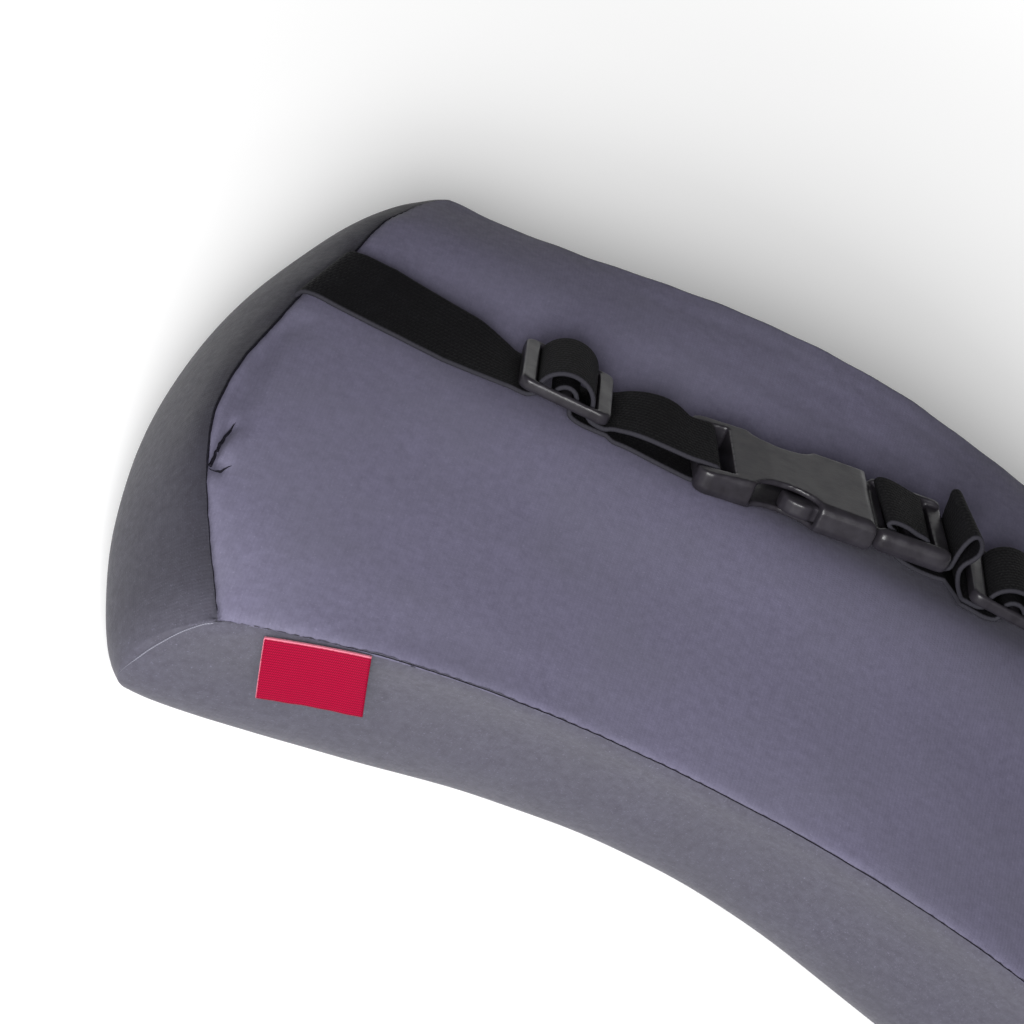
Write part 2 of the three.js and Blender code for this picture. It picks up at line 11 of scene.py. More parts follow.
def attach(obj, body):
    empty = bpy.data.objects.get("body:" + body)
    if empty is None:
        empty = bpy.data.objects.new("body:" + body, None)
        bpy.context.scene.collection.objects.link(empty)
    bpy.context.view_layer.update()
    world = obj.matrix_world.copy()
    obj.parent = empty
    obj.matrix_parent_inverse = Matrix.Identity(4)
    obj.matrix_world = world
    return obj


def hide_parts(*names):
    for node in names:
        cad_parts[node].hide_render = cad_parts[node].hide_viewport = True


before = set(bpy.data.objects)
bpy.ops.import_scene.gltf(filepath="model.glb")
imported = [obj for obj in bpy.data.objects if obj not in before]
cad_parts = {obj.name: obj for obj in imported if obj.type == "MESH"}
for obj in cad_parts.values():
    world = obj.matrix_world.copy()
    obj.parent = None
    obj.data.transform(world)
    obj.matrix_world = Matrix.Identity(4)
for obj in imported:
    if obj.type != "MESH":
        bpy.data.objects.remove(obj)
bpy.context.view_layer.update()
scene = bpy.context.scene

MM = 0.001
# The part's frame is this far along Y from the measures below, in millimetres.
FRAME_SHIFT = 3.8407

# Camera: where the photograph was taken from, in millimetres, its turn about the line of sight,
# and its focal length in frame widths.
CAMERA_AT = (-230.9, -777.7 + FRAME_SHIFT, 835.1)
CAMERA_BACK = (-0.15, -0.69026, 0.70784)
CAMERA_ROLL = math.radians(27.4)
FOCAL_WIDTHS = 4.02 * 1140.8 / 1024
SENSOR_WIDTH = 36

# Cushion: the lines that run its length. y and z at the middle, y and z at the ends, half its
# length, and how far it bows off that curve in y and z.
LINES = {
    "lower seam": (-80.5, 68, -92, 54, 123.5, -4.5, 7),
    "lower back": (-32, 68.5, -40.5, 60.5, 143, 0, 0),
    "ridge": (4, 70.5, 10, 56.5, 136, 0, 0),
    "strap valley": (31, 58.5, 36.5, 53.5, 127, 0, 0),
    "upper back": (58.5, 59, 62, 49.5, 120, 0, 0),
    "upper seam": (84, 58, 88, 41, 106, -4, -1),
    "lower side": (-73, 38, -91, 22.5, 136.5, -1, 0),
    "lower front": (-55, 0, -65, 0, 114.5, 0, 0),
    "upper side": (87.5, 36, 92, 22.5, 112.5, 0, 0),
    "upper front": (62, 0, 69, 0, 99.5, 0, 0),
}
BACK_LINES = ("lower seam", "lower back", "ridge", "strap valley", "upper back", "upper seam")
END_SIDE_BOW = 25.5
END_FRONT_BOW = 20
NECK_HOLLOW = 12
NECK_REACH = 0.78

# Seams: how wide and deep their channels are, and how far the corners are drawn in: how wide that
# is, at how many times as far it ends, and its depths at the seam and on the side.
CHANNEL_WIDTH = 3.2
CHANNEL_DEPTH = {"lower": 1.5, "upper": 0.4, "end": 1.5, "corner": 0.5}
CORNER_REACH = 9
CORNER_SPAN = 4
CORNER_DRAW = {"lower": (1.8, 3.4), "upper": (2.6, 2)}

# Webbing: its section, how far it clears the cushion, and how its sewn ends follow the seam.
WEB_WIDTH = 25
WEB_THICK = 1.2
CLEAR = 0.52
SEAM_LEAN = 4.6
STRAP_LINE = ((-130, 26.5), (-107, 22), (-83, 15.8), (-72, 14.4), (-55, 14.4), (-33, 12.5),
              (37, 21.2), (45, 22), (71, 22.5), (93, 22.6), (130, 24))

# Sliders and buckle.
SLIDER = {"length": 24, "width": 28.8, "thick": 3.2, "pin": 3, "lift": 3.2}
SLIDER_LEFT = -66.3
SLIDER_RIGHT = 57.5
SOCKET = {"middle": -8.5, "length": 47, "mouth": 33, "bar": 4.6}
PLUG = {"reach": 20.5, "inner bar": 10.5}

# Label: where it starts and ends along the lower seam, how it hangs, how far it stands out, curls
# and slips down at its start, its waves, its plies, the fold's angle, its rims and its mesh.
LABEL = {"start": -112.5, "end": -88.5, "hang": (5.2, -6, -13), "out": 0.96, "curl": 0.7,
         "slip": 1.3, "sway": ((0.12, 9, 0), (0.1, 23, 1)), "ply": 0.4, "between": 0.08,
         "bend": 75, "rim": (0.25, 0.45), "columns": 33, "rows": 21, "bends": 6}


def adjust(thing, **settings):
    for key, value in settings.items():
        setattr(thing, key, value)
    return thing


def add_object(name, data):
    obj = bpy.data.objects.new(name, data)
    scene.collection.objects.link(obj)
    return obj


# Surface of the cushion

# Which of x, y and z lie in the plan
IN_PLAN = np.array([True, True, False])


def line(name, u):
    """Points of a line of the cushion at stations u, from -1 at the left end to 1 at the right."""
    y_mid, z_mid, y_end, z_end, half, y_bow, z_bow = LINES[name]
    u = np.asarray(u, float)
    square = u * u
    bow = 4 * square * (1 - square)
    y = y_mid + (y_end - y_mid) * square + y_bow * bow
    z = z_mid + (z_end - z_mid) * square + z_bow * bow
    return np.stack([u * half, y, z], -1)


def front(name, u):
    point = line(name, u)
    reach = np.minimum(1, np.abs(u) / NECK_REACH)
    point[..., 2] = NECK_HOLLOW * (1 - reach * reach) ** 2
    return point


def back_panel(u, v):
    """The back panel, from the lower seam at v = 0 to the upper seam at v = 1."""
    u, v = np.broadcast_arrays(np.asarray(u, float), np.asarray(v, float))
    knots = np.stack([line(name, u) for name in BACK_LINES])
    before = 2 * knots[:1] - knots[1:2]
    after = 2 * knots[-1:] - knots[-2:-1]
    knots = np.concatenate([before, knots, after])
    place = v * (len(BACK_LINES) - 1)
    first = np.clip(np.floor(place).astype(int), 0, len(BACK_LINES) - 2)
    t = (place - first)[..., None]
    cells = tuple(np.indices(u.shape))
    a, b, c, d = (knots[(first + k,) + cells] for k in range(4))
    return 0.5 * (2 * b + (c - a) * t + (2 * a - 5 * b + 4 * c - d) * t**2
                  + (3 * b - a - 3 * c + d) * t**3)


def side_panel(seam, side, under, t):
    """A side panel: it swells from the seam at t = 0 to 1, then turns in to the front at t = 2."""
    t = np.asarray(t, float)[..., None]
    swelling = seam + (side - seam) * np.where(IN_PLAN, 1 - (1 - t) ** 2, t)
    turn = (t - 1) * math.pi / 2
    turning = side + (under - side) * np.where(IN_PLAN, 1 - np.cos(turn), np.sin(turn))
    return np.where(t <= 1, swelling, turning)


def lower_panel(u, t):
    return side_panel(line("lower seam", u), line("lower side", u), front("lower front", u), t)


def upper_panel(u, t):
    return side_panel(line("upper seam", u), line("upper side", u), front("upper front", u), t)


def share_across(v):
    v = np.asarray(v, float)
    first, last = back_panel(1, 0)[1], back_panel(1, 1)[1]
    return (back_panel(np.ones_like(v), v)[..., 1] - first) / (last - first)


def bowed(start, end, share, bow):
    point = start + (end - start) * share[..., None]
    point[..., 0] += bow * 4 * share * (1 - share)
    return point


def end_panel(end, v, t):
    v, t = np.broadcast_arrays(np.asarray(v, float), np.asarray(t, float))
    share = share_across(v)
    u = np.full(v.shape, float(end))
    side = bowed(line("lower side", u), line("upper side", u), share, end * END_SIDE_BOW)
    under = bowed(front("lower front", u), front("upper front", u), share, end * END_FRONT_BOW)
    return side_panel(back_panel(u, v), side, under, t)


def neck_panel(u, v):
    u, v = np.broadcast_arrays(np.asarray(u, float), np.asarray(v, float))
    return bowed(front("lower front", u), front("upper front", u), share_across(v),
                 u**3 * END_FRONT_BOW)


# Seat of the strap

# Steps of the search for a height, the share of the webbing's width on each side that a seat is
# levelled on, its least length there, and its spots along and across that clear the panel.
HALVINGS = 26
SEAT_REACH = 0.44
SHORTEST_SEAT = 6
SEAT_CHECKS = 9, 15


def back_height(x, y):
    """Heights of the back panel over points of the floor."""
    x, y = np.broadcast_arrays(np.asarray(x, float), np.asarray(y, float))
    low, high = np.zeros(x.shape), np.ones(x.shape)
    for _ in range(HALVINGS):
        v = (low + high) / 2
        below = back_panel(x / back_panel(np.ones_like(v), v)[..., 0], v)[..., 1] < y
        low, high = np.where(below, v, low), np.where(below, high, v)
    return back_panel(x / back_panel(np.ones_like(low), low)[..., 0], low)[..., 2]


def strap_y(x):
    return np.interp(x, *np.transpose(STRAP_LINE))


def unit(vectors):
    return vectors / np.linalg.norm(vectors, axis=-1, keepdims=True)


def seat_for(start, end, width, rise=0, turned=0, drift=0, raised=0):
    """A flat seat for the strap, tilted across like the back panel, turned a little and raised
    until it clears the panel."""
    x = (start + end) / 2
    y = strap_y(x)
    reach = WEB_WIDTH * SEAT_REACH
    span = max(SHORTEST_SEAT, end - start)
    ends = np.array([x - span / 2, x + span / 2])
    middles = strap_y(ends)
    levels = (back_height(ends, middles - reach) + back_height(ends, middles + reach)) / 2
    near, far = back_height(x, y - reach), back_height(x, y + reach)
    tilt = math.atan2(far - near, 2 * reach) + turned
    along = unit(np.array([1, (middles[1] - middles[0]) / span + drift,
                           (levels[1] - levels[0]) / span + rise]))
    across = np.array([0, math.cos(tilt), math.sin(tilt)])
    across = unit(across - along * across.dot(along))
    middle = np.array([x, y, (near + far) / 2])
    forward = np.linspace(-0.5, 0.5, SEAT_CHECKS[0])[:, None, None] * (end - start)
    aside = np.linspace(-0.5, 0.5, SEAT_CHECKS[1])[None, :, None] * width
    spots = middle + along * forward + across * aside
    lift = (back_height(spots[..., 0], spots[..., 1]) - spots[..., 2]).max()
    middle[2] += lift + CLEAR / math.cos(tilt) + raised
    return {"from": start, "to": end, "x": x, "middle": middle, "along": along, "across": across}


def soft_seat(x, **turn):
    return seat_for(x, x, WEB_WIDTH + 1, **turn)


SOCKET_END = SOCKET["middle"] - SOCKET["length"] / 2
PLUG_MOUTH = SOCKET["middle"] + SOCKET["length"] / 2
PLUG_END = PLUG_MOUTH + PLUG["reach"]


def slider_seat(x, **turn):
    reach = SLIDER["length"] / 2 + 1
    return seat_for(x - reach, x + reach, SLIDER["width"], **turn)


# The strap's seats, some of them turned a little from the panel under them
SEATS = (
    [soft_seat(-129)]
    + [soft_seat(x, turned=0.08) for x in (-117, -105, -93)]
    + [slider_seat(SLIDER_LEFT, rise=-0.03, drift=0.05, turned=-0.09)]
    + [soft_seat(x) for x in (-50, -42)]
    + [seat_for(SOCKET_END - 1, PLUG_END + 1, SOCKET["mouth"], rise=0.11, turned=0.05)]
    + [slider_seat(SLIDER_RIGHT, rise=0.03, raised=1.2)]
    + [soft_seat(x) for x in (82, 93, 105, 117, 129)]
)


def strap_frame(x):
    """The strap's plane at any x: its middle and the directions along, across and up."""
    before = next((seat for seat in reversed(SEATS) if seat["from"] <= x), SEATS[0])
    after = next((seat for seat in SEATS if seat["to"] >= x), SEATS[-1])

    def point_on(seat, at):
        return seat["middle"] + seat["along"] * (at - seat["x"])

    if before is after:
        along, across, middle = before["along"], before["across"], point_on(before, x)
    else:
        start, finish = point_on(before, before["to"]), point_on(after, after["from"])
        share = (x - before["to"]) / (after["from"] - before["to"])
        along = unit(before["along"] * (1 - share) + after["along"] * share)
        across = before["across"] * (1 - share) + after["across"] * share
        across = unit(across - along * across.dot(along))
        middle = start * (1 - share) + finish * share
    return middle, along, across, np.cross(along, across)


# Materials

# Pitches of each finish's pattern and sizes of its uneven colour, in millimetres.
KNIT = {"wale": 0.9, "course": 0.75, "slant": 0.8, "cloud": 26, "mottle": 2.2, "fibre": 0.45}
WEAVE = {"cord": 1.55, "rib": 1.1, "stagger": 0.55, "edge": (11.6, 12.2), "fibre": 0.4, "wear": 7}
SATIN = {"thread": 0.45, "pick": 0.6, "fibre": 0.4}
MOULDED = {"grain": 0.35, "smudge": 5}
CORD_PATTERN = {"twist": 0.9, "advance": 0.3, "fibre": 0.3}


def linear(red, green, blue):
    """A screen colour from 0 to 255, as linear light."""
    return tuple(((c / 255 + 0.055) / 1.055) ** 2.4 if c > 10 else c / 255 / 12.92
                 for c in (red, green, blue))


class Nodes:
    """Builds one material's nodes. Places are in millimetres."""

    def __init__(self, name, **surface):
        self.material = bpy.data.materials.new(name)
        self.material.use_nodes = True
        self.tree = self.material.node_tree
        self.shader = self.tree.nodes["Principled BSDF"]
        names = (key.replace("_", " ").title().replace("Ior", "IOR") for key in surface)
        self.set_inputs(self.shader, dict(zip(names, surface.values())))

    def set_inputs(self, node, inputs):
        for key, value in inputs.items():
            if isinstance(value, bpy.types.NodeSocket):
                self.tree.links.new(value, node.inputs[key])
            else:
                node.inputs[key].default_value = value

    def add(self, kind, inputs=None, **settings):
        node = adjust(self.tree.nodes.new("ShaderNode" + kind), **settings)
        self.set_inputs(node, inputs or {})
        return node

    def maths(self, operation, *values):
        return self.add("Math", dict(enumerate(values)), operation=operation).outputs[0]

    def ripple(self, value, pitch):
        """Rows of rounded ribs, one every pitch."""
        return self.maths("ABSOLUTE", self.maths("SINE", self.maths("MULTIPLY", value, math.pi / pitch)))

    def place(self):
        coordinates = self.add("TexCoord").outputs["Object"]
        scaled = self.add("VectorMath", {0: coordinates, "Scale": 1000}, operation="SCALE")
        return scaled.outputs[0]

    def weave(self):
        """Across and along the cloth."""
        split = self.add("SeparateXYZ", {0: self.add("UVMap", uv_map="weave").outputs[0]})
        return split.outputs[0], split.outputs[1]

    def noise(self, size, detail=2, rough=0.5):
        inputs = {"Vector": self.place(), "Scale": 1 / size, "Detail": detail, "Roughness": rough}
        return self.add("TexNoise", inputs).outputs["Fac"]

    def fit(self, value, low, high, to_low=0, to_high=1):
        ranges = {"From Min": low, "From Max": high, "To Min": to_low, "To Max": to_high}
        return self.add("MapRange", {"Value": value} | ranges).outputs[0]

    def mix(self, share, first, second):
        first, second = ((*colour, 1) if isinstance(colour, tuple) else colour
                         for colour in (first, second))
        return self.add("Mix", {0: share, 6: first, 7: second}, data_type="RGBA").outputs[2]

    def attribute(self, name):
        return self.add("Attribute", attribute_name=name).outputs["Fac"]

    def finish(self, colour, roughness, *bumps):
        """Links the colour, the roughness and a chain of (height, millimetres, strength)."""
        chain = {}
        for height, depth, strength in bumps:
            bump = {"Height": height, "Distance": depth * MM, "Strength": strength}
            chain = {"Normal": self.add("Bump", bump | chain).outputs[0]}
        self.set_inputs(self.shader, {"Base Color": colour, "Roughness": roughness} | chain)
        return self.material


def knit_material(name, dark, light, cool):
    knit = Nodes(name, roughness=0.7, sheen_weight=0.05, sheen_roughness=0.4,
                 specular_ior_level=0.2)
    across, along = knit.weave()
    wales = knit.ripple(across, KNIT["wale"])
    slant = knit.maths("PINGPONG", across, KNIT["wale"] / 2)
    slanted = knit.maths("ADD", along, knit.maths("MULTIPLY", slant, KNIT["slant"]))
    courses = knit.ripple(slanted, KNIT["course"])
    loops = knit.maths("MULTIPLY", wales, knit.maths("MULTIPLY_ADD", courses, 0.6, 0.4))
    cloud = knit.noise(KNIT["cloud"], 4, 0.6)
    mottle = knit.noise(KNIT["mottle"], 4, 0.7)
    fibre = knit.noise(KNIT["fibre"])
    colour = knit.mix(knit.fit(mottle, 0.3, 0.7), dark, light)
    colour = knit.mix(knit.fit(cloud, 0.35, 0.65, 0, 0.35), colour, cool)
    # Painted glints: fine lighter specks where the fibre noise is high.
    colour = knit.mix(knit.fit(fibre, 0.62, 0.75, 0, 0.3), colour, COVER_GLINT)
    # Painted shade in the hollows between the knit's loops.
    colour = knit.mix(knit.fit(loops, 0, 0.5, 0.1, 0), colour, COVER_SHADE)
    # Painted shade of the seams' creases, the end panels and the folds, from the seam attribute.
    colour = knit.mix(knit.fit(knit.attribute("seam"), 0, 1), colour, COVER_PAINTED_SHADE)
    roughness = knit.fit(mottle, 0.3, 0.7, 0.78, 0.62)
    return knit.finish(colour, roughness, (loops, 0.1, 0.3), (fibre, 0.12, 0.35),
                       (mottle, 0.25, 0.25))


def webbing_material():
    web = Nodes("woven_webbing", roughness=0.75, specular_ior_level=0.12)
    across, along = web.weave()
    column = web.maths("FLOOR", web.maths("DIVIDE", across, WEAVE["cord"]))
    ribs = web.ripple(web.maths("MULTIPLY_ADD", column, WEAVE["stagger"], along), WEAVE["rib"])
    cords = web.ripple(across, WEAVE["cord"])
    height = web.maths("MULTIPLY", web.maths("POWER", ribs, 0.6), web.maths("POWER", cords, 0.5))
    edge = web.fit(web.maths("ABSOLUTE", across), *WEAVE["edge"])
    fibre = web.noise(WEAVE["fibre"], 3)
    wear = web.noise(WEAVE["wear"], 3, 0.6)
    worn = web.fit(web.maths("MULTIPLY", fibre, wear), 0.25, 0.4, 0, 0.3)
    # Painted shade in the weave's hollows: the ribs' tops take the light tone.
    colour = web.mix(height, WEB_DARK, WEB_LIGHT)
    colour = web.mix(web.maths("MULTIPLY", edge, 0.55), colour, WEB_EDGE)
    colour = web.mix(worn, colour, WEB_WORN)
    roughness = web.fit(fibre, 0.3, 0.7, 0.85, 0.62)
    return web.finish(colour, roughness, (height, 0.25, 0.5), (fibre, 0.12, 0.3))


def plastic_material():
    plastic = Nodes("moulded_plastic", roughness=0.4, specular_ior_level=0.25)
    grain = plastic.noise(MOULDED["grain"])
    smudge = plastic.noise(MOULDED["smudge"], 4, 0.6)
    colour = plastic.mix(plastic.fit(smudge, 0.35, 0.65), PLASTIC_DARK, PLASTIC_LIGHT)
    roughness = plastic.fit(smudge, 0.35, 0.65, 0.28, 0.4)
    return plastic.finish(colour, roughness, (grain, 0.05, 0.35), (smudge, 0.3, 0.15))


def cord_material(name, dark, light):
    thread = Nodes(name, roughness=0.75, specular_ior_level=0.15)
    around, along = thread.weave()
    twist = thread.ripple(thread.maths("ADD", around, along), CORD_PATTERN["twist"])
    fibre = thread.noise(CORD_PATTERN["fibre"])
    # Painted shade between the twists: their tops take the light tone.
    colour = thread.mix(twist, dark, light)
    roughness = thread.fit(fibre, 0.3, 0.7, 0.85, 0.7)
    return thread.finish(colour, roughness, (twist, 0.1, 0.4), (fibre, 0.05, 0.3))


def label_material():
    satin = Nodes("woven_label", roughness=0.55, specular_ior_level=0.06)
    across, down = satin.weave()
    slanted = satin.maths("ADD", across, satin.maths("MULTIPLY", down, 0.5))
    threads = satin.ripple(slanted, SATIN["thread"])
    picks = satin.ripple(down, SATIN["pick"])
    fibre = satin.noise(SATIN["fibre"], 3)
    crossings = satin.fit(satin.maths("MULTIPLY", threads, picks), 0, 0.8)
    # Painted highlight on the weave's raised crossings, painted shade between them.
    colour = satin.mix(crossings, LABEL_DARK, LABEL_LIGHT)
    rim = satin.maths("ADD", satin.attribute("rim"), satin.maths("MULTIPLY", fibre, 0.3))
    colour = satin.mix(satin.fit(rim, 0.65, 0.9, 0, 0.75), colour, LABEL_RIM)
    roughness = satin.fit(fibre, 0.3, 0.7, 0.62, 0.45)
    return satin.finish(colour, roughness, (threads, 0.12, 0.5), (picks, 0.1, 0.3))


# Colours
# Painted glints on the knit's fibres.
COVER_GLINT = linear(122, 120, 140)
# Painted shade in the knit's loop hollows.
COVER_SHADE = linear(60, 58, 70)
# Painted shade of the seams' creases, the folds and the end panels.
COVER_PAINTED_SHADE = linear(14, 13, 18)
# Painted shade in the weave's hollows takes the dark tone.
WEB_DARK = linear(5, 5, 7)
WEB_LIGHT = linear(12, 11, 14)
WEB_EDGE = linear(52, 51, 58)
WEB_WORN = linear(23, 23, 27)
PLASTIC_DARK = linear(30, 28, 32)
PLASTIC_LIGHT = linear(38, 36, 41)
# The label's light tone is painted highlight on the weave's raised crossings.
LABEL_DARK = linear(90, 0, 25)
LABEL_LIGHT = linear(134, 0, 39)
LABEL_RIM = linear(214, 128, 146)

# The cover's finishes in the order of its material slots, with their dark tone, their light tone
# and a knit's cool tone, then the others. The side knit is the back's knit made darker: painted
# shade on all panels but the back.
COVER_FINISHES = (
    knit_material("knit_back", linear(84, 81, 99), linear(96, 93, 113), linear(86, 85, 98)),
    knit_material("knit_side_painted_shade", linear(59, 57, 67), linear(69, 68, 79), linear(61, 60, 67)),
    # The cords: near-black for painted shade, pale for a painted highlight.
    cord_material("dark_cord_painted_shade", linear(6, 5, 12), linear(16, 14, 24)),
    cord_material("pale_cord_painted_highlight", linear(86, 86, 96), linear(112, 112, 122)),
)
BACK_SLOT, SIDE_SHADE_SLOT, SHADE_CORD_SLOT, HIGHLIGHT_CORD_SLOT = range(4)
WEBBING = webbing_material()
PLASTIC = plastic_material()
LABEL_CLOTH = label_material()


# Meshes


def new_object(name, points, faces, material=None):
    mesh = bpy.data.meshes.new(name)
    shifted = np.asarray(points, float) + (0, FRAME_SHIFT, 0)
    mesh.from_pydata((shifted * MM).tolist(), [], faces)
    mesh.shade_smooth()
    mesh.update()
    if material:
        mesh.materials.append(material)
    return add_object(name, mesh)


def grid_faces(rows, columns, start=0, flipped=False, closed=False):
    faces = []
    for i in range(rows - 1):
        for j in range(columns if closed else columns - 1):
            k = (j + 1) % columns
            face = [start + i * columns + j, start + (i + 1) * columns + j,
                    start + (i + 1) * columns + k, start + i * columns + k]
            faces.append(face[::-1] if flipped else face)
    return faces


def tube_faces(rings, sides, start=0, flipped=False):
    """The faces round a tube, and its two ends."""
    near = [start + k for k in range(sides)]
    far = [start + rings * sides - 1 - k for k in range(sides)]
    return grid_faces(rings, sides, start, flipped, closed=True) + [near, far]


def set_weave(obj, weave):
    """Keeps each vertex's place across and along the cloth, for the material."""
    corners = np.empty(len(obj.data.loops), int)
    obj.data.loops.foreach_get("vertex_index", corners)
    layer = obj.data.uv_layers.new(name="weave")
    layer.data.foreach_set("uv", np.asarray(weave, np.float32)[corners].ravel())


def store(obj, name, values, kind="FLOAT", key="value"):
    """Keeps a number or a vector for each vertex, for the material or for later work."""
    attribute = obj.data.attributes.new(name, kind, "POINT")
    attribute.data.foreach_set(key, np.asarray(values, np.float32).ravel())


def read(items, name, width):
    """A value or vector of every item of a mesh."""
    flat = np.empty(len(items) * width)
    items.foreach_get(name, flat)
    return flat.reshape(-1, width)


def clean_up(obj, weld=0.01):
    """Welds the vertices that meet, and turns the faces outward."""
    work = bmesh.new()
    work.from_mesh(obj.data)
    bmesh.ops.remove_doubles(work, verts=work.verts, dist=weld * MM)
    bmesh.ops.recalc_face_normals(work, faces=work.faces)
    work.to_mesh(obj.data)
    work.free()
    obj.data.update()


def places_of(mesh):
    """The mesh's vertices in millimetres, in the measures' frame."""
    return read(mesh.vertices, "co", 3) / MM - (0, FRAME_SHIFT, 0)


def move_to(mesh, places):
    mesh.vertices.foreach_set("co", ((places + (0, FRAME_SHIFT, 0)) * MM).ravel())
    mesh.update()


def normals_of(mesh):
    return read(mesh.vertices, "normal", 3)


def apply_modifiers(obj):
    """Puts the shape that the modifiers make into the mesh, and removes them."""
    graph = bpy.context.evaluated_depsgraph_get()
    made = bpy.data.meshes.new_from_object(obj.evaluated_get(graph), preserve_all_data_layers=True,
                                           depsgraph=graph)
    obj.modifiers.clear()
    obj.data = made


def tree_of(marks):
    tree = KDTree(len(marks))
    for number, mark in enumerate(marks):
        tree.insert(mark, number)
    tree.balance()
    return tree


def nearest(places, marks):
    """For each place, the number of the nearest mark and how far it is."""
    tree = tree_of(marks)
    found = np.array([tree.find(place)[1:] for place in places])
    return found[:, 0].astype(int), found[:, 1]


# Cushion

# The cover's grid: its steps along, across and down the sides, and how they crowd towards the
# seams. Extra stations lie beside each seam, in millimetres and as shares of a side.
ALONG = {"count": 88, "crowding": 0.35, "length": 270}
ACROSS = {"count": 56, "crowding": 0.3, "length": 170}
SIDE_STEPS = 24
BESIDE_SEAM = 0.45, 1.05
BESIDE_SEAM_SHARES = 0.008, 0.02

# The cover is drawn in towards the cushion's heart: this share of a place's x, at this height.
HEART_SHARE = 0.6
HEART_Z = 38
# Filling: how much smaller the cover starts, away from a band beside its seams, how wide a band is
# held, the cloth, and how far it may swell, stand proud of the solid and hang slack inside it.
SHRUNK = 1.6
SHRUNK_BAND = 12
HELD_BAND = 1.2
CLOTH = {"quality": 5, "mass": 0.3, "tension_stiffness": 30, "compression_stiffness": 30,
         "bending_stiffness": 0.6, "use_pressure": True, "uniform_pressure_force": 4,
         "vertex_group_mass": "sewn"}
FILLING_STEPS = 20
MOST_SWELL = 5
MOST_PROUD = 0.2
SLACK = 0.35
# Near the floor: below which heights the cover is set down, is plain, and starts at the lift.
NEAR_FLOOR = {"set down": 0.3, "plain": 0.4, "lifted": 0.5, "lift": 0.02}

# Marks along a long seam, an end seam and a corner, and how far down a corner is a seam.
LONG_MARKS, END_MARKS, CORNER_MARKS = 501, 341, 121
CORNER_SEAM = 1.5

# The fine crease of each kind of seam: its depth and width, and how much its stitches pucker it.
CREASES = {"lower": (0.9, 0.75, 0.3), "upper": (0.2, 0.6, 0.1), "end": (0.9, 1.0, 0.2),
           "corner": (-0.1, 1.2, 0.2)}
# Painted shade along a seam's crease: how dark its line is and how wide, and how much lighter it
# is between the stitches.
SEAM_SHADE_LINES = {"lower": (0.4, 0.6), "upper": (0.5, 0.5), "end": (0.6, 0.9), "corner": (0, 1)}
BETWEEN_STITCHES = 0.25
STITCH = 3.3
# A seam's slow drift: its depth, the lengths of its two waves, and where beside the seam it is.
DRIFT = {"depth": 0.09, "waves": (2.3, 4.1), "away": 2, "width": 4}
# Painted shade: the end panels are darker than the others and more so beside their seam, over a
# band. It fades out at the corners.
END_PANEL_SHADE = 0.17
END_SHADE = 0.42
END_BAND = 15
CORNER_FADE = 9
UPPER_CORNER_FADE = 16
# A fold's painted shade shows where it is darker than this.
FAINTEST = 0.02
# The cover's slow unevenness: its depth and its size.
UNEVEN = {"depth": 0.35, "size": 24}

# Folds of the cover: how far they go in (or stand out, where less than 0), how wide they are, how
# dark their painted shade is, how far from the seam they begin, and points on them.
FOLDS = {
    "long pinch": (3, 1.4, 0.8, 0, (
        (-139.1, -53, 59.8), (-138.8, -47.4, 60.5), (-138, -43, 60.9), (-136.8, -37, 61.1))),
    "short pinch": (1.8, 1, 0.7, 0, (
        (-139.1, -53.7, 59.7), (-136.6, -54, 60.1), (-133.6, -51.4, 60.8))),
    "ridge above it": (-1, 2, 0, 0, ((-135.6, -50, 60.6), (-135.4, -45, 61), (-134, -39, 61.2))),
    "ridge below it": (-0.6, 1.4, 0, 0, ((-138.6, -57.5, 59.2), (-135.4, -57.4, 59.6))),
    "left valley": (2.2, 4.6, 0.2, 2.5, (
        (-137.8, -42, 60.9), (-138, -30, 60.4), (-137.2, -17, 59.8), (-135.2, -2, 58.3),
        (-131.5, 9, 57.2))),
    "lower dip": (0.5, 7, 0, 0, ((-96, -81, 66.5), (-60, -76, 68.5), (-20, -73, 69))),
    "right valley": (1.8, 4.2, 0.2, 2.5, ((139, -40, 61), (138.5, -20, 60), (134, 4, 58))),
    "right pinch": (1.4, 1.2, 0.5, 0, ((139.1, -54, 59.7), (136, -48, 60.8), (132, -43, 61.4))),
}
# The share of a fold that fades out at both ends. The rest fades out towards its far end.
BOTH_ENDS = 0.8

# Cords half sunk in the cover: near-black ones are painted shade in the seams' creases and in the
# sharp lines of two folds, pale ones a painted highlight along the lower corners. What they run on,
# their slot and how thick they are at shares of the way.
END_CORD = (0, 0.12), (0.15, 0.16), (0.17, 0.32), (0.35, 0.38), (0.85, 0.34), (1, 0.05)
CORNER_CORD = (0, 0.16), (0.7, 0.2), (1, 0)
PAINTED_CORDS = (
    ("lower seam", SHADE_CORD_SLOT, ((0, 0.03), (0.1, 0.05), (0.15, 0.15), (0.94, 0.15), (1, 0.1))),
    ("left end", SHADE_CORD_SLOT, END_CORD),
    ("right end", SHADE_CORD_SLOT, END_CORD),
    ("long pinch", SHADE_CORD_SLOT, ((0, 0.45), (0.5, 0.4), (0.85, 0.34), (1, 0.05))),
    ("short pinch", SHADE_CORD_SLOT, ((0, 0.1), (0.3, 0.12), (0.6, 0.36), (1, 0.05))),
    ("left corner", HIGHLIGHT_CORD_SLOT, CORNER_CORD),
    ("right corner", HIGHLIGHT_CORD_SLOT, CORNER_CORD),
)
# How far along the seams the cords run, and how the corners' cords bow.
LOWER_REACH = 0.99
END_REACH = 0.01, 0.88
CORNER_DOWN = 1.15
CORNER_BOW = 0.022
# The cords: points on an end seam, sides, the share of the radius they are raised by, least radius.
CORD_POINTS = 300
CORD_SIDES = 6
CORD_RAISED = 0.45
CORD_LEAST = 0.02
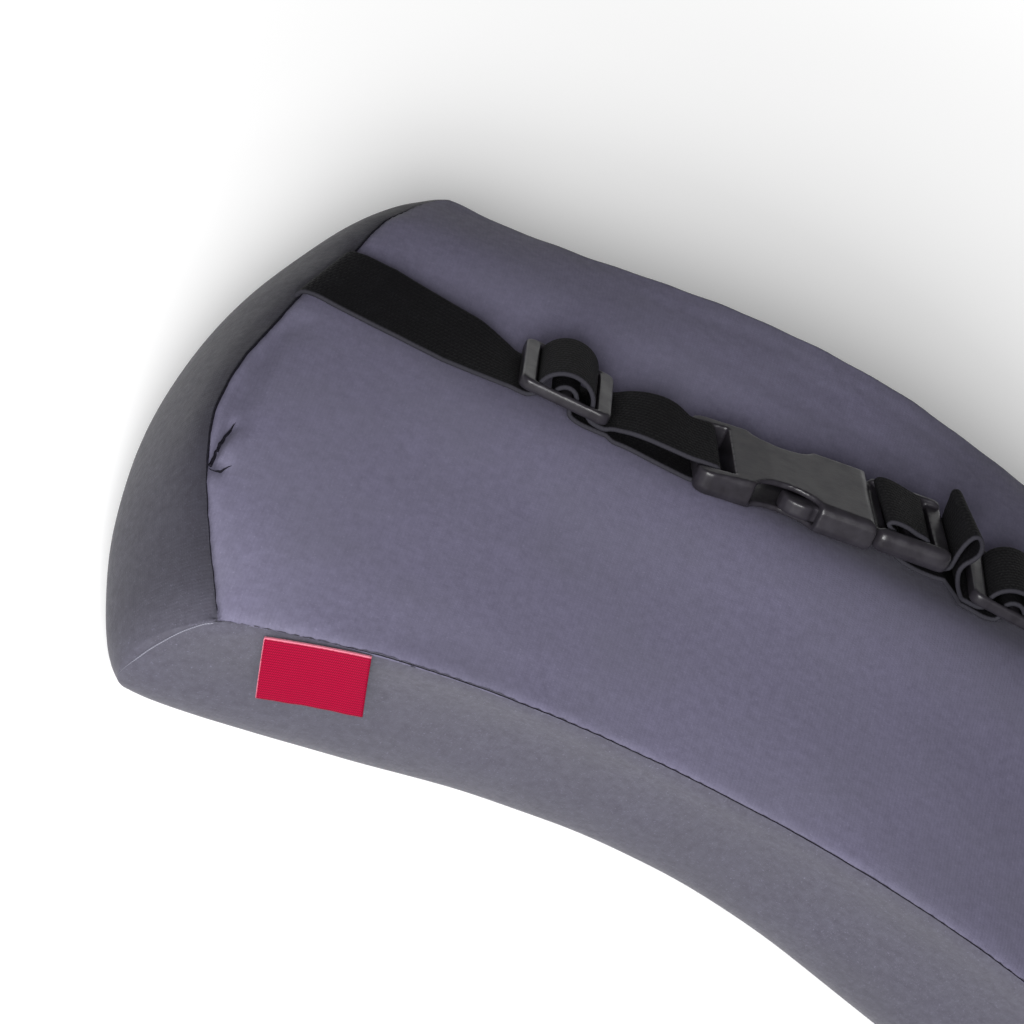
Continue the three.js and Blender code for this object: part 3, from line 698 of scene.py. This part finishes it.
# A cord moves with the vertices near it, and is smoothed before, between and after it is laid.
NEAR_VERTICES = 4
NEAR_EASE = 0.05
SMOOTHINGS = 30, 12, 2


def spread(count, crowding, length):
    """Stations from 0 to 1, closer towards the ends, with two more beside each end's seam."""
    even = np.arange(count + 1) / count
    eased = even * (1 - crowding) + crowding * (1 - np.cos(math.pi * even)) / 2
    beside = np.array(BESIDE_SEAM) / length
    return np.unique(np.concatenate([eased, beside, 1 - beside]))


def seam_marks():
    """Points along the seams, with their kind and how far along they are."""
    u = np.linspace(-1, 1, LONG_MARKS)
    runs = [("lower", back_panel(u, 0)), ("upper", back_panel(u, 1))]
    for end in (-1, 1):
        runs.append(("end", back_panel(end, np.linspace(0, 1, END_MARKS))))
        for panel in (lower_panel, upper_panel):
            runs.append(("corner", panel(end, np.linspace(0, CORNER_SEAM, CORNER_MARKS))))
    points, kinds, along = [], [], []
    for kind, run in runs:
        steps = np.linalg.norm(np.diff(run, axis=0), axis=1)
        points.append(run)
        kinds += [kind] * len(run)
        along.append(np.concatenate([[0], np.cumsum(steps)]))
    return np.concatenate(points), np.array(kinds), np.concatenate(along)


def corner_marks():
    points, draws = [], []
    t = np.linspace(0, 2, CORNER_MARKS)
    for end in (-1, 1):
        for panel, key in ((lower_panel, "lower"), (upper_panel, "upper")):
            at_seam, at_side = CORNER_DRAW[key]
            points.append(panel(end, t))
            draws.append(at_seam + (at_side - at_seam) * np.minimum(1, t))
    return np.concatenate(points), np.concatenate(draws)


SEAMS, SEAM_KINDS, SEAM_ALONG = seam_marks()
CORNERS, CORNER_DRAWS = corner_marks()


def of_kind(table, seam):
    """What a table says of the kind of seam that each mark lies on."""
    return np.array([table[kind] for kind in SEAM_KINDS])[seam].T


def towards_heart(places):
    heart = places * (HEART_SHARE, 0, 0) + (0, 0, HEART_Z)
    return unit(heart - places)


def clear_of_upper_corners(places):
    """How much of the end seam shows: it fades out towards the upper corners."""
    tips = np.array([back_panel(end, 1) for end in (-1, 1)])
    return 1 - np.exp(-(nearest(places, tips)[1] / UPPER_CORNER_FADE) ** 2)


def drawn_in(places):
    """The cover before it is filled: the panels, drawn in along the seams and at the corners."""
    seam, seam_gap = nearest(places, SEAMS)
    depths = of_kind(CHANNEL_DEPTH, seam) * clear_of_upper_corners(places)
    corner, corner_gap = nearest(places, CORNERS)
    fade = np.maximum(0, np.exp(-corner_gap / CORNER_REACH) - math.exp(-CORNER_SPAN))
    depth = depths * np.exp(-(seam_gap / CHANNEL_WIDTH) ** 2) + CORNER_DRAWS[corner] * fade
    return places + towards_heart(places) * depth[:, None], seam_gap


def cushion_grid():
    """The cover's panels, sewn together."""
    u = 2 * spread(**ALONG) - 1
    v = spread(**ACROSS)
    t = 2 * np.unique(np.concatenate([np.arange(SIDE_STEPS + 1) / SIDE_STEPS, BESIDE_SEAM_SHARES]))
    points, faces, weave, ends = [], [], [], []

    def add(rows, columns, at, flipped, axis, is_end=0):
        grid = at(*np.meshgrid(rows, columns, indexing="ij"))
        start = sum(len(part) for part in points)
        steps = np.linalg.norm(np.diff(grid, axis=1), axis=2)
        down = np.concatenate([np.zeros((len(rows), 1)), np.cumsum(steps, axis=1)], axis=1)
        points.append(grid.reshape(-1, 3))
        ends.extend([is_end] * (len(rows) * len(columns)))
        weave.append(np.stack([grid[..., axis], down], -1).reshape(-1, 2))
        faces.extend(grid_faces(len(rows), len(columns), start, flipped))

    add(u, v, back_panel, False, 0)
    add(u, v, neck_panel, True, 0)
    add(u, t, lower_panel, True, 0)
    add(u, t, upper_panel, False, 0)
    add(v, t, lambda a, b: end_panel(-1, a, b), False, 1, 1)
    add(v, t, lambda a, b: end_panel(1, a, b), True, 1, 1)
    obj = new_object("cushion_cover", np.concatenate(points), faces)
    for finish in COVER_FINISHES:
        obj.data.materials.append(finish)
    backs = (len(u) - 1) * (len(v) - 1)
    # All panels but the back take the darker knit: painted shade.
    slots = [BACK_SLOT] * backs + [SIDE_SHADE_SLOT] * (len(faces) - backs)
    obj.data.polygons.foreach_set("material_index", slots)
    set_weave(obj, np.concatenate(weave))
    store(obj, "end_panel", ends)
    clean_up(obj)
    store(obj, "kept", places_of(obj.data), "FLOAT_VECTOR", "vector")
    return obj


def fill_out(obj, held):
    """Fills the cushion: the cover swells under pressure and is held along its seams."""
    group = obj.vertex_groups.new(name="sewn")
    group.add([int(number) for number in np.nonzero(held)[0]], 1, "REPLACE")
    cloth = obj.modifiers.new("filling", "CLOTH")
    adjust(cloth.settings, **CLOTH)
    cloth.settings.effector_weights.gravity = 0
    adjust(cloth.point_cache, frame_start=1, frame_end=FILLING_STEPS)
    for number in range(1, FILLING_STEPS + 1):
        scene.frame_set(number)
    graph = bpy.context.evaluated_depsgraph_get()
    filled = places_of(obj.evaluated_get(graph).data)
    obj.modifiers.clear()
    obj.vertex_groups.clear()
    scene.frame_set(1)
    return filled


def fold_share(places, width, path):
    """How much of a fold's depth is at each place. It fades out towards its ends."""
    path = np.array(path, float)
    steps = np.diff(path, axis=0)
    lengths = np.linalg.norm(steps, axis=1)
    ahead = places[:, None] - path[:-1]
    t = np.clip((ahead * steps).sum(-1) / lengths**2, 0, 1)
    gaps = np.linalg.norm(ahead - t[..., None] * steps, axis=-1)
    closest = np.arange(len(places)), gaps.argmin(1)
    share = (np.cumsum(lengths) - lengths + t * lengths)[closest] / lengths.sum()
    fade = np.sqrt(np.clip(4 * share * (1 - share), 0, 1)) * BOTH_ENDS + (1 - BOTH_ENDS) * (1 - share)
    return fade * np.exp(-(gaps[closest] / width) ** 2)


def seam_crease(seam, gap, shown):
    """How deep the creases of the seams are, with their stitches' puckers and slow drift."""
    crease, width, pucker = of_kind(CREASES, seam)
    along = SEAM_ALONG[seam]
    stitches = 1 + pucker * np.cos(2 * math.pi * along / STITCH)
    first, second = DRIFT["waves"]
    drift = np.sin(along / first) + np.sin(along / second + 1)
    beside = np.exp(-((gap - DRIFT["away"]) / DRIFT["width"]) ** 2)
    return crease * shown * stitches * np.exp(-gap / width) - DRIFT["depth"] * drift * beside


def seam_shade(seam, gap, shown):
    """The painted shade along the seams' creases: how dark their lines are."""
    tone, width = of_kind(SEAM_SHADE_LINES, seam)
    between = (1 - np.cos(2 * math.pi * SEAM_ALONG[seam] / STITCH)) / 2
    return tone * (1 - BETWEEN_STITCHES * between) * shown * np.exp(-(gap / width) ** 2)


def end_shade(places):
    """The painted shade of an end panel: darker beside its seam, and none at the corners."""
    gap = nearest(places, SEAMS[SEAM_KINDS == "end"])[1]
    clear = 1 - np.exp(-(nearest(places, CORNERS)[1] / CORNER_FADE) ** 2)
    return (END_PANEL_SHADE + END_SHADE * np.exp(-gap / END_BAND)) * clear


def dress_cover(obj):
    """The creases of the seams, the folds of the cover, its painted shade and its painted cords."""
    mesh = obj.data
    kept = read(mesh.attributes["kept"].data, "vector", 3)
    mesh.attributes.remove(mesh.attributes["kept"])
    places, normals = places_of(mesh), normals_of(mesh)
    seam, gap = nearest(kept, SEAMS)
    shown = clear_of_upper_corners(kept)
    depth = seam_crease(seam, gap, shown)
    on_end = read(mesh.attributes["end_panel"].data, "value", 1)[:, 0]
    # Painted shade: the seams' creases, and the end panels, darker still beside their seam.
    shade = np.maximum(seam_shade(seam, gap, shown), end_shade(kept) * on_end)
    for deep, width, tone, away, path in FOLDS.values():
        share = fold_share(kept, width, path)
        if away:
            share *= 1 - np.exp(-(gap / away) ** 2)
        depth += deep * share
        # Painted shade in the fold.
        dark = tone * share**2
        shade = np.where(dark > np.maximum(shade, FAINTEST), dark, shade)
    depth += UNEVEN["depth"] * np.array([noise.noise(Vector(place) / UNEVEN["size"])
                                         for place in places])
    depth = np.where(places[:, 2] < NEAR_FLOOR["plain"], 0, depth)
    moved = places - normals * depth[:, None]
    moved[:, 2] = np.maximum(moved[:, 2], 0)
    move_to(mesh, moved)
    # The painted shade of the seams' creases, the end panels and the folds, for the material.
    store(obj, "seam", shade)
    add_painted_cords(obj, kept)


def cord_path(on):
    """Points of the bare panels along a seam, or along a fold, from its start."""
    side = -1 if on.startswith("left") else 1
    share = np.linspace(0, 1, CORD_POINTS)
    if on == "lower seam":
        return back_panel(LOWER_REACH * np.linspace(-1, 1, 2 * CORD_POINTS), 0)
    if on.endswith("end"):
        return back_panel(side, np.linspace(*END_REACH, CORD_POINTS))
    if on.endswith("corner"):
        share = share[::2]
        return lower_panel(side * (1 - CORNER_BOW * np.sin(math.pi * share)), CORNER_DOWN * share)
    path = np.array(FOLDS[on][-1], float)
    return np.stack([np.interp(share[::5], np.linspace(0, 1, len(path)), axis)
                     for axis in path.T], -1)


def smoothed(path, times):
    for _ in range(times):
        path[1:-1] = (path[:-2] + 2 * path[1:-1] + path[2:]) / 4
    return path


def on_cover(path, moves, tree, surface):
    """Brings a path of the bare panels onto the finished cover, with the way out at each point."""
    before, between, after = SMOOTHINGS
    moved = []
    for place in path:
        near = tree.find_n(place, NEAR_VERTICES)
        weights = np.array([1 / (NEAR_EASE + gap) ** 2 for _, _, gap in near])
        shifts = np.array([moves[number] for _, number, _ in near])
        moved.append(place + (shifts * weights[:, None]).sum(0) / weights.sum())
    found = [surface.find_nearest(place) for place in smoothed(np.array(moved), before)]
    laid = smoothed(np.array([spot for spot, *_ in found]), between)
    ups = smoothed(np.array([up for _, up, *_ in found]), between)
    laid = np.array([surface.find_nearest(place)[0] for place in laid])
    return smoothed(laid, after), ups


def cord(path, ups, radii):
    """Rings of points round a path."""
    ahead = np.gradient(path, axis=0)
    aside = unit(np.cross(ahead, ups))[:, None]
    lift = unit(np.cross(aside[:, 0], ahead))[:, None]
    angle = 2 * math.pi * np.arange(CORD_SIDES)[:, None] / CORD_SIDES
    outward = aside * np.cos(angle) + lift * np.sin(angle)
    return path[:, None] + outward * np.maximum(radii, CORD_LEAST)[:, None, None]


def add_painted_cords(obj, kept):
    """Joins the painted cords to the cover: round cords half sunk in it."""
    finished = places_of(obj.data)
    tree = tree_of(kept)
    surface = BVHTree.FromPolygons(finished.tolist(),
                                   [polygon.vertices[:] for polygon in obj.data.polygons])
    points, faces, slots, weave = [], [], [], []
    for on, slot, thickness in PAINTED_CORDS:
        path, ups = on_cover(cord_path(on), finished - kept, tree, surface)
        radii = np.interp(np.linspace(0, 1, len(path)), *zip(*thickness))
        faces += tube_faces(len(path), CORD_SIDES, len(points))
        slots += [slot] * (len(faces) - len(slots))
        points.extend(cord(path + ups * radii[:, None] * CORD_RAISED, ups, radii).reshape(-1, 3))
        number, side = np.indices((len(path), CORD_SIDES)).reshape(2, -1)
        weave.extend(zip(CORD_PATTERN["twist"] * side / CORD_SIDES, CORD_PATTERN["advance"] * number))
    cords = new_object("seam_and_fold_cords", points, faces)
    cords.data.polygons.foreach_set("material_index", slots)
    store(cords, "seam", [0] * len(points))
    set_weave(cords, weave)
    clean_up(cords, 0)
    whole = bmesh.new()
    for part in (obj, cords):
        whole.from_mesh(part.data)
    whole.to_mesh(obj.data)
    whole.free()
    bpy.data.objects.remove(cords)


def cushion_object():
    """The cover: its panels drawn in, filled out, kept to the solid and dressed."""
    obj = cushion_grid()
    solid, gap = drawn_in(places_of(obj.data))
    start = solid + towards_heart(solid) * (SHRUNK * (1 - np.exp(-gap / SHRUNK_BAND)))[:, None]
    lifted = np.maximum(start[:, 2], NEAR_FLOOR["lift"])
    start[:, 2] = np.where(solid[:, 2] < NEAR_FLOOR["lifted"], lifted, start[:, 2])
    on_floor = solid[:, 2] < NEAR_FLOOR["set down"]
    move_to(obj.data, start)
    swell = fill_out(obj, (gap < HELD_BAND) | on_floor) - start
    far = np.linalg.norm(swell, axis=1)
    filled = start + swell * np.minimum(1, MOST_SWELL / np.maximum(far, 1e-6))[:, None]
    move_to(obj.data, solid)
    proud = np.sum((filled - solid) * normals_of(obj.data), axis=1)
    settled = np.where(proud > 0, np.minimum(proud, MOST_PROUD), proud * SLACK)
    filled -= normals_of(obj.data) * (proud - settled)[:, None]
    filled[:, 2] = np.where(on_floor, 0, np.maximum(filled[:, 2], 0))
    move_to(obj.data, filled)
    adjust(obj.modifiers.new("finer", "SUBSURF"), levels=1, render_levels=1)
    apply_modifiers(obj)
    dress_cover(obj)
    return obj


# Straps

# How high the webbing's middle lies, the height of a slider's pin, the radius of a loop that lies
# close round it, and the radii of a loose hump over it.
LAY = WEB_THICK / 2
PIN_HEIGHT = SLIDER["lift"] + SLIDER["thick"] / 2
LOOP = math.hypot(SLIDER["pin"] / 2, SLIDER["thick"] / 2) + LAY + 0.1
HUMP = (7.05, 6.2)


def turn(x, along, up, start, end):
    """A route round a slider's pin, from one angle to another."""
    angles = np.radians(np.linspace(start, end, math.ceil(abs(end - start) / 20) + 1))
    return [(x + along * math.cos(a), PIN_HEIGHT + up * math.sin(a)) for a in angles]


def over_pin(x, side):
    """In under a slider's bar, over its pin in a loose hump, and out under the other bar."""
    under = ((16.5, 1.6), (12.5, 1.6), (9.6, 1.6), (8.3, 1.9), (7.4, 2.5))
    away = ((7.5, 2.7), (8.6, 2.2), (12, 2.1))
    over = (195, -14) if side < 0 else (-15, 194)
    return ([(x + side * gap, height) for gap, height in under]
            + turn(x, *HUMP, *over)
            + [(x - side * gap, height) for gap, height in away])


def sewn_end(side):
    """Out of the end seam, leaning with it, and onto the panel."""
    rise = (129.6, -4, 1), (129.9, -2.6, 1), (129.8, -1.3, 1), (129, -0.2, 1)
    return [(side * x, height, -side * lean * SEAM_LEAN)
            for x, height, lean in rise + ((126, LAY, 1), (119, LAY, 0.5))]


# Routes: x, the height above the strap's plane, how far the far edge is ahead of the near edge,
# and how far it is above it.
SLOT_EDGE = SOCKET_END + SOCKET["bar"]
LEFT_ROUTE = (
    sewn_end(-1)
    + [(-105, 0.9), (-93, 1.5)]
    + over_pin(SLIDER_LEFT, -1)
    + [(-52.6, 3.1), (-50.4, 4.6, 0, 0.6), (-47, 5.9, 0, 1.2), (-43, 6.7, 0, 1.6),
       (-38.5, 6.9, 0, 1.4), (-34.5, 6.7, 0, 0.6), (SOCKET_END, 6.6), (SLOT_EDGE - 0.8, 6.6),
       (SLOT_EDGE + 0.7, 6.4), (SLOT_EDGE + 1.3, 5.4), (SLOT_EDGE + 1.3, 2.8),
       (SLOT_EDGE + 0.9, 1.7), (SLOT_EDGE - 0.8, 1.2), (SOCKET_END, 1.2), (-38, 1.3),
       (-46, 1.4), (-52, 0.9), (-61, 0.68), (-63.4, 1.5)]
    + turn(SLIDER_LEFT, LOOP, LOOP, -38, 215)
)
INNER_BAR = PLUG_MOUTH + PLUG["inner bar"]
RIGHT_ROUTE = (
    sewn_end(1)
    + [(105, LAY), (93, LAY), (82, 0.9)]
    + over_pin(SLIDER_RIGHT, 1)
    + [(43, 2.1), (40.4, 2.4, -1), (38.9, 3.9, -1.5), (39, 6.2, -2), (39.9, 9, -3),
       (40.5, 11.6, -3.5), (40.1, 13.4, -3.5), (38.8, 14, -3.5), (37.6, 12.8, -3),
       (37.1, 10.2, -1.5), (36.9, 7, -0.5), (36.9, 4), (36.6, 2.2), (35, 1.2), (33, 1), (31, 1),
       (29.8, 1.5), (29.4, 2.9), (29.35, 5), (28.6, 6.8), (INNER_BAR, 7.6), (22, 8.4, -1),
       (19.4, 8.6, -1), (18, 8.3, -1), (17.5, 7.6, -1), (18.3, 6.8, -1), (20, 6.2), (20.9, 4.6),
       (20.9, 2), (22, 0.8), (24.6, -0.4), (28, -1.2), (32, -1.6), (36, -1.5), (40, -0.3),
       (43.4, 0.6), (47, 0.68), (52.2, 0.68), (54.6, 1.5)]
    + turn(SLIDER_RIGHT, LOOP, LOOP, 218, -35)
)


def smooth_route(route, spacing=0.8):
    """Points every so many millimetres on a smooth curve through the route."""
    knots = np.array([tuple(knot) + (0,) * (4 - len(knot)) for knot in route], float)
    knots = np.concatenate([[2 * knots[0] - knots[1]], knots, [2 * knots[-1] - knots[-2]]])
    out = []
    for a, b, c, d in zip(knots, knots[1:], knots[2:], knots[3:]):
        gaps = [max(1e-3, math.hypot(*(q - p)[:2])) ** 0.5 for p, q in ((a, b), (b, c), (c, d))]
        slope_b = (b - a) / gaps[0] - (c - a) / (gaps[0] + gaps[1]) + (c - b) / gaps[1]
        slope_c = (c - b) / gaps[1] - (d - b) / (gaps[1] + gaps[2]) + (d - c) / gaps[2]
        slope_b, slope_c = slope_b * gaps[1], slope_c * gaps[1]
        steps = max(2, math.ceil(math.hypot(*(c - b)[:2]) / spacing))
        for t in np.arange(steps) / steps:
            out.append((2 * t**3 - 3 * t**2 + 1) * b + (t**3 - 2 * t**2 + t) * slope_b
                       + (3 * t**2 - 2 * t**3) * c + (t**3 - t**2) * slope_c)
    out.append(knots[-2])
    return out


def web_section(steps=18, rounding=4):
    """The webbing's section, as places across it and through it."""
    half = WEB_WIDTH / 2 - LAY
    flat = [((k / steps - 0.5) * 2 * half, LAY) for k in range(steps + 1)]
    angles = [math.pi / 2 - math.pi * k / (rounding + 1) for k in range(1, rounding + 1)]
    side = [(half + LAY * math.cos(a), LAY * math.sin(a)) for a in angles]
    return flat + side + [(-x, -y) for x, y in flat + side]


def strap_object(name, route):
    stations = np.array(smooth_route(route))
    frames = zip(*(strap_frame(x) for x in stations[:, 0]))
    middle, along, across, up = (np.array(part)[:, None] for part in frames)
    centre = middle + up * stations[:, None, 1:2]
    outward = unit(np.cross(np.gradient(centre, axis=0), across))
    lean, rise = stations[:, 2:].T[..., None, None] / WEB_WIDTH
    aside, face = np.array(web_section()).T[..., None]
    points = centre + across * aside + along * lean * aside + up * rise * aside + outward * face
    steps = np.diff(centre, axis=0, prepend=centre[:1])
    reached = np.cumsum(np.linalg.norm(steps, axis=-1), axis=0)
    weave = np.stack(np.broadcast_arrays(aside[:, 0], reached), -1)
    faces = tube_faces(*points.shape[:2], flipped=True)
    obj = new_object(name, points.reshape(-1, 3), faces, WEBBING)
    set_weave(obj, weave.reshape(-1, 2))
    clean_up(obj)
    return obj


# Label: one ply down, a fold, and one ply back up


def label_object():
    half = LINES["lower seam"][4]
    hang = np.array(LABEL["hang"], float)
    place = np.linspace(0, 1, LABEL["columns"])
    seam = lower_panel((LABEL["start"] + (LABEL["end"] - LABEL["start"]) * place) / half, 0)
    outward = unit(np.cross(hang, seam[-1] - seam[0]))
    seam, _ = drawn_in(seam)
    depth = np.linalg.norm(hang)
    width = np.linalg.norm(seam[-1] - seam[0])
    # Down the front ply, round the fold and up the back ply, on the outer face and then back
    # on the inner face
    apart = (LABEL["ply"] + LABEL["between"]) / 2
    downs = np.linspace(0, 1 - apart / depth, LABEL["rows"])
    bend = np.linspace(LABEL["bend"], -LABEL["bend"], LABEL["bends"])
    level = np.concatenate([downs, np.full(len(bend), downs[-1]), downs[::-1]])
    angle = np.radians(np.concatenate([np.full(len(downs), 90), bend, np.full(len(downs), -90)]))
    count = len(level)
    level, angle = (np.concatenate([part, part[::-1]]) for part in (level, angle))
    swing = apart + np.repeat((0.5, -0.5), count) * LABEL["ply"]
    place = place[:, None]
    down = level + apart * np.cos(angle) / depth + 0 * place
    sway = sum(size * np.sin(place * pace + start) for size, pace, start in LABEL["sway"])
    out = LABEL["out"] + swing * np.sin(angle) + LABEL["curl"] * 4 * down * (1 - down) + sway * down
    slip = level + (swing * np.cos(angle) + LABEL["slip"] * (1 - place)) / depth
    points = seam[:, None] + outward * out[..., None] + hang * slip[..., None]
    side_rim, top_rim = LABEL["rim"]
    edge = np.minimum(place * width / side_rim + side_rim, down * depth / top_rim)
    faces = grid_faces(len(seam), 2 * count, closed=True)
    for end in (0, (len(seam) - 1) * 2 * count):
        faces += [[end + j, end + j + 1, end + 2 * count - 2 - j, end + 2 * count - 1 - j]
                  for j in range(count - 1)]
    obj = new_object("label_folded", points.reshape(-1, 3), faces, LABEL_CLOTH)
    set_weave(obj, np.stack([place * width + 0 * down, down * depth], -1).reshape(-1, 2))
    store(obj, "rim", np.maximum(0, 1 - edge).ravel())
    clean_up(obj, 0.001)
    return obj


# Sliders and buckle: the solids' shapes with the soft edges of moulded plastic

MOULDING = {"voxel": 0.3, "softening": 13}


def moulded(node):
    obj = add_object(node + "_moulded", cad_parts[node].data.copy())
    obj.data.materials.clear()
    obj.data.materials.append(PLASTIC)
    adjust(obj.modifiers.new("shape", "REMESH"), mode="VOXEL", use_smooth_shade=True,
           voxel_size=MOULDING["voxel"] * MM)
    adjust(obj.modifiers.new("soften", "SMOOTH"), iterations=MOULDING["softening"], factor=0.5)
    apply_modifiers(obj)
    obj.data.shade_smooth()
    return obj


# Each piece, the node it stands for and the slot of its finish
cushion = cushion_object()
PIECES = [
    (cushion, "cushion", "cover_fabric"),
    (strap_object("webbing_left", LEFT_ROUTE), "strap_left", "webbing"),
    (strap_object("webbing_right", RIGHT_ROUTE), "strap_right", "webbing"),
    (label_object(), "label", "label_fabric"),
] + [(moulded(node), node, "plastic")
     for node in ("slider_left", "slider_right", "buckle_socket", "buckle_plug")]
for piece, node, slot in PIECES:
    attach(piece, "root")
    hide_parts(node)


# Camera, floor and light


def add_camera():
    back = Vector(CAMERA_BACK).normalized()
    along = (Vector((1, 0, 0)) - back * back.x).normalized()
    over = back.cross(along)
    right = along * math.cos(CAMERA_ROLL) + over * math.sin(CAMERA_ROLL)
    up = over * math.cos(CAMERA_ROLL) - along * math.sin(CAMERA_ROLL)
    data = adjust(bpy.data.cameras.new("camera"), sensor_width=SENSOR_WIDTH,
                  lens=SENSOR_WIDTH * FOCAL_WIDTHS)
    camera = add_object("camera", data)
    turned = Matrix((right, up, back)).transposed().to_4x4()
    camera.matrix_world = Matrix.Translation(Vector(CAMERA_AT) * MM) @ turned
    scene.camera = camera


def add_lamp():
    lamp = add_object("key", adjust(bpy.data.lights.new("key", "AREA"), **LAMP))
    lamp.location = LAMP_AT
    aim = Vector(LAMP_AIM) - Vector(LAMP_AT)
    lamp.rotation_euler = aim.to_track_quat("-Z", "Y").to_euler()


# The floor is a lit table: half its size, the sizes of its uneven tone, sheen and grain, and how
# strongly it glows near the object and far from it.
FLOOR_SIZE = 4000
FLOOR_NOISE = {"tone": 400, "sheen": 90, "grain": 3}
FLOOR_GLOW = 0.2, 0.7
GLOW_REACH = 190, 420
# The lamp: where it is and aims, its size and power, and how bright the room is
LAMP_AT = (-0.16, -0.58, 0.48)
LAMP_AIM = (0, 0, 0.04)
LAMP = {"shape": "DISK", "size": 0.4, "energy": 10.6}
ROOM_GLOW = 0.14


def add_floor():
    pale = Nodes("pale_floor", roughness=0.7)
    colour = pale.mix(pale.noise(FLOOR_NOISE["tone"]), (0.86, 0.86, 0.86), (0.88, 0.88, 0.88))
    roughness = pale.fit(pale.noise(FLOOR_NOISE["sheen"]), 0, 1, 0.68, 0.74)
    material = pale.finish(colour, roughness, (pale.noise(FLOOR_NOISE["grain"]), 0.02, 0.1))
    away = pale.add("VectorMath", {0: pale.place()}, operation="LENGTH").outputs["Value"]
    glow = pale.fit(away, *GLOW_REACH, *FLOOR_GLOW)
    pale.set_inputs(pale.shader, {"Emission Color": (1, 1, 1, 1), "Emission Strength": glow})
    corners = ((-1, -1), (1, -1), (1, 1), (-1, 1))
    points = [(x * FLOOR_SIZE, y * FLOOR_SIZE, -0.05) for x, y in corners]
    floor = new_object("floor", points, [(0, 1, 2, 3)], material)


add_camera()
add_floor()
add_lamp()
world = bpy.data.worlds.new("studio")
world.use_nodes = True
background = world.node_tree.nodes["Background"].inputs
background["Color"].default_value = (1, 1, 1, 1)
background["Strength"].default_value = ROOM_GLOW
scene.world = world
scene.view_settings.view_transform = "Standard"
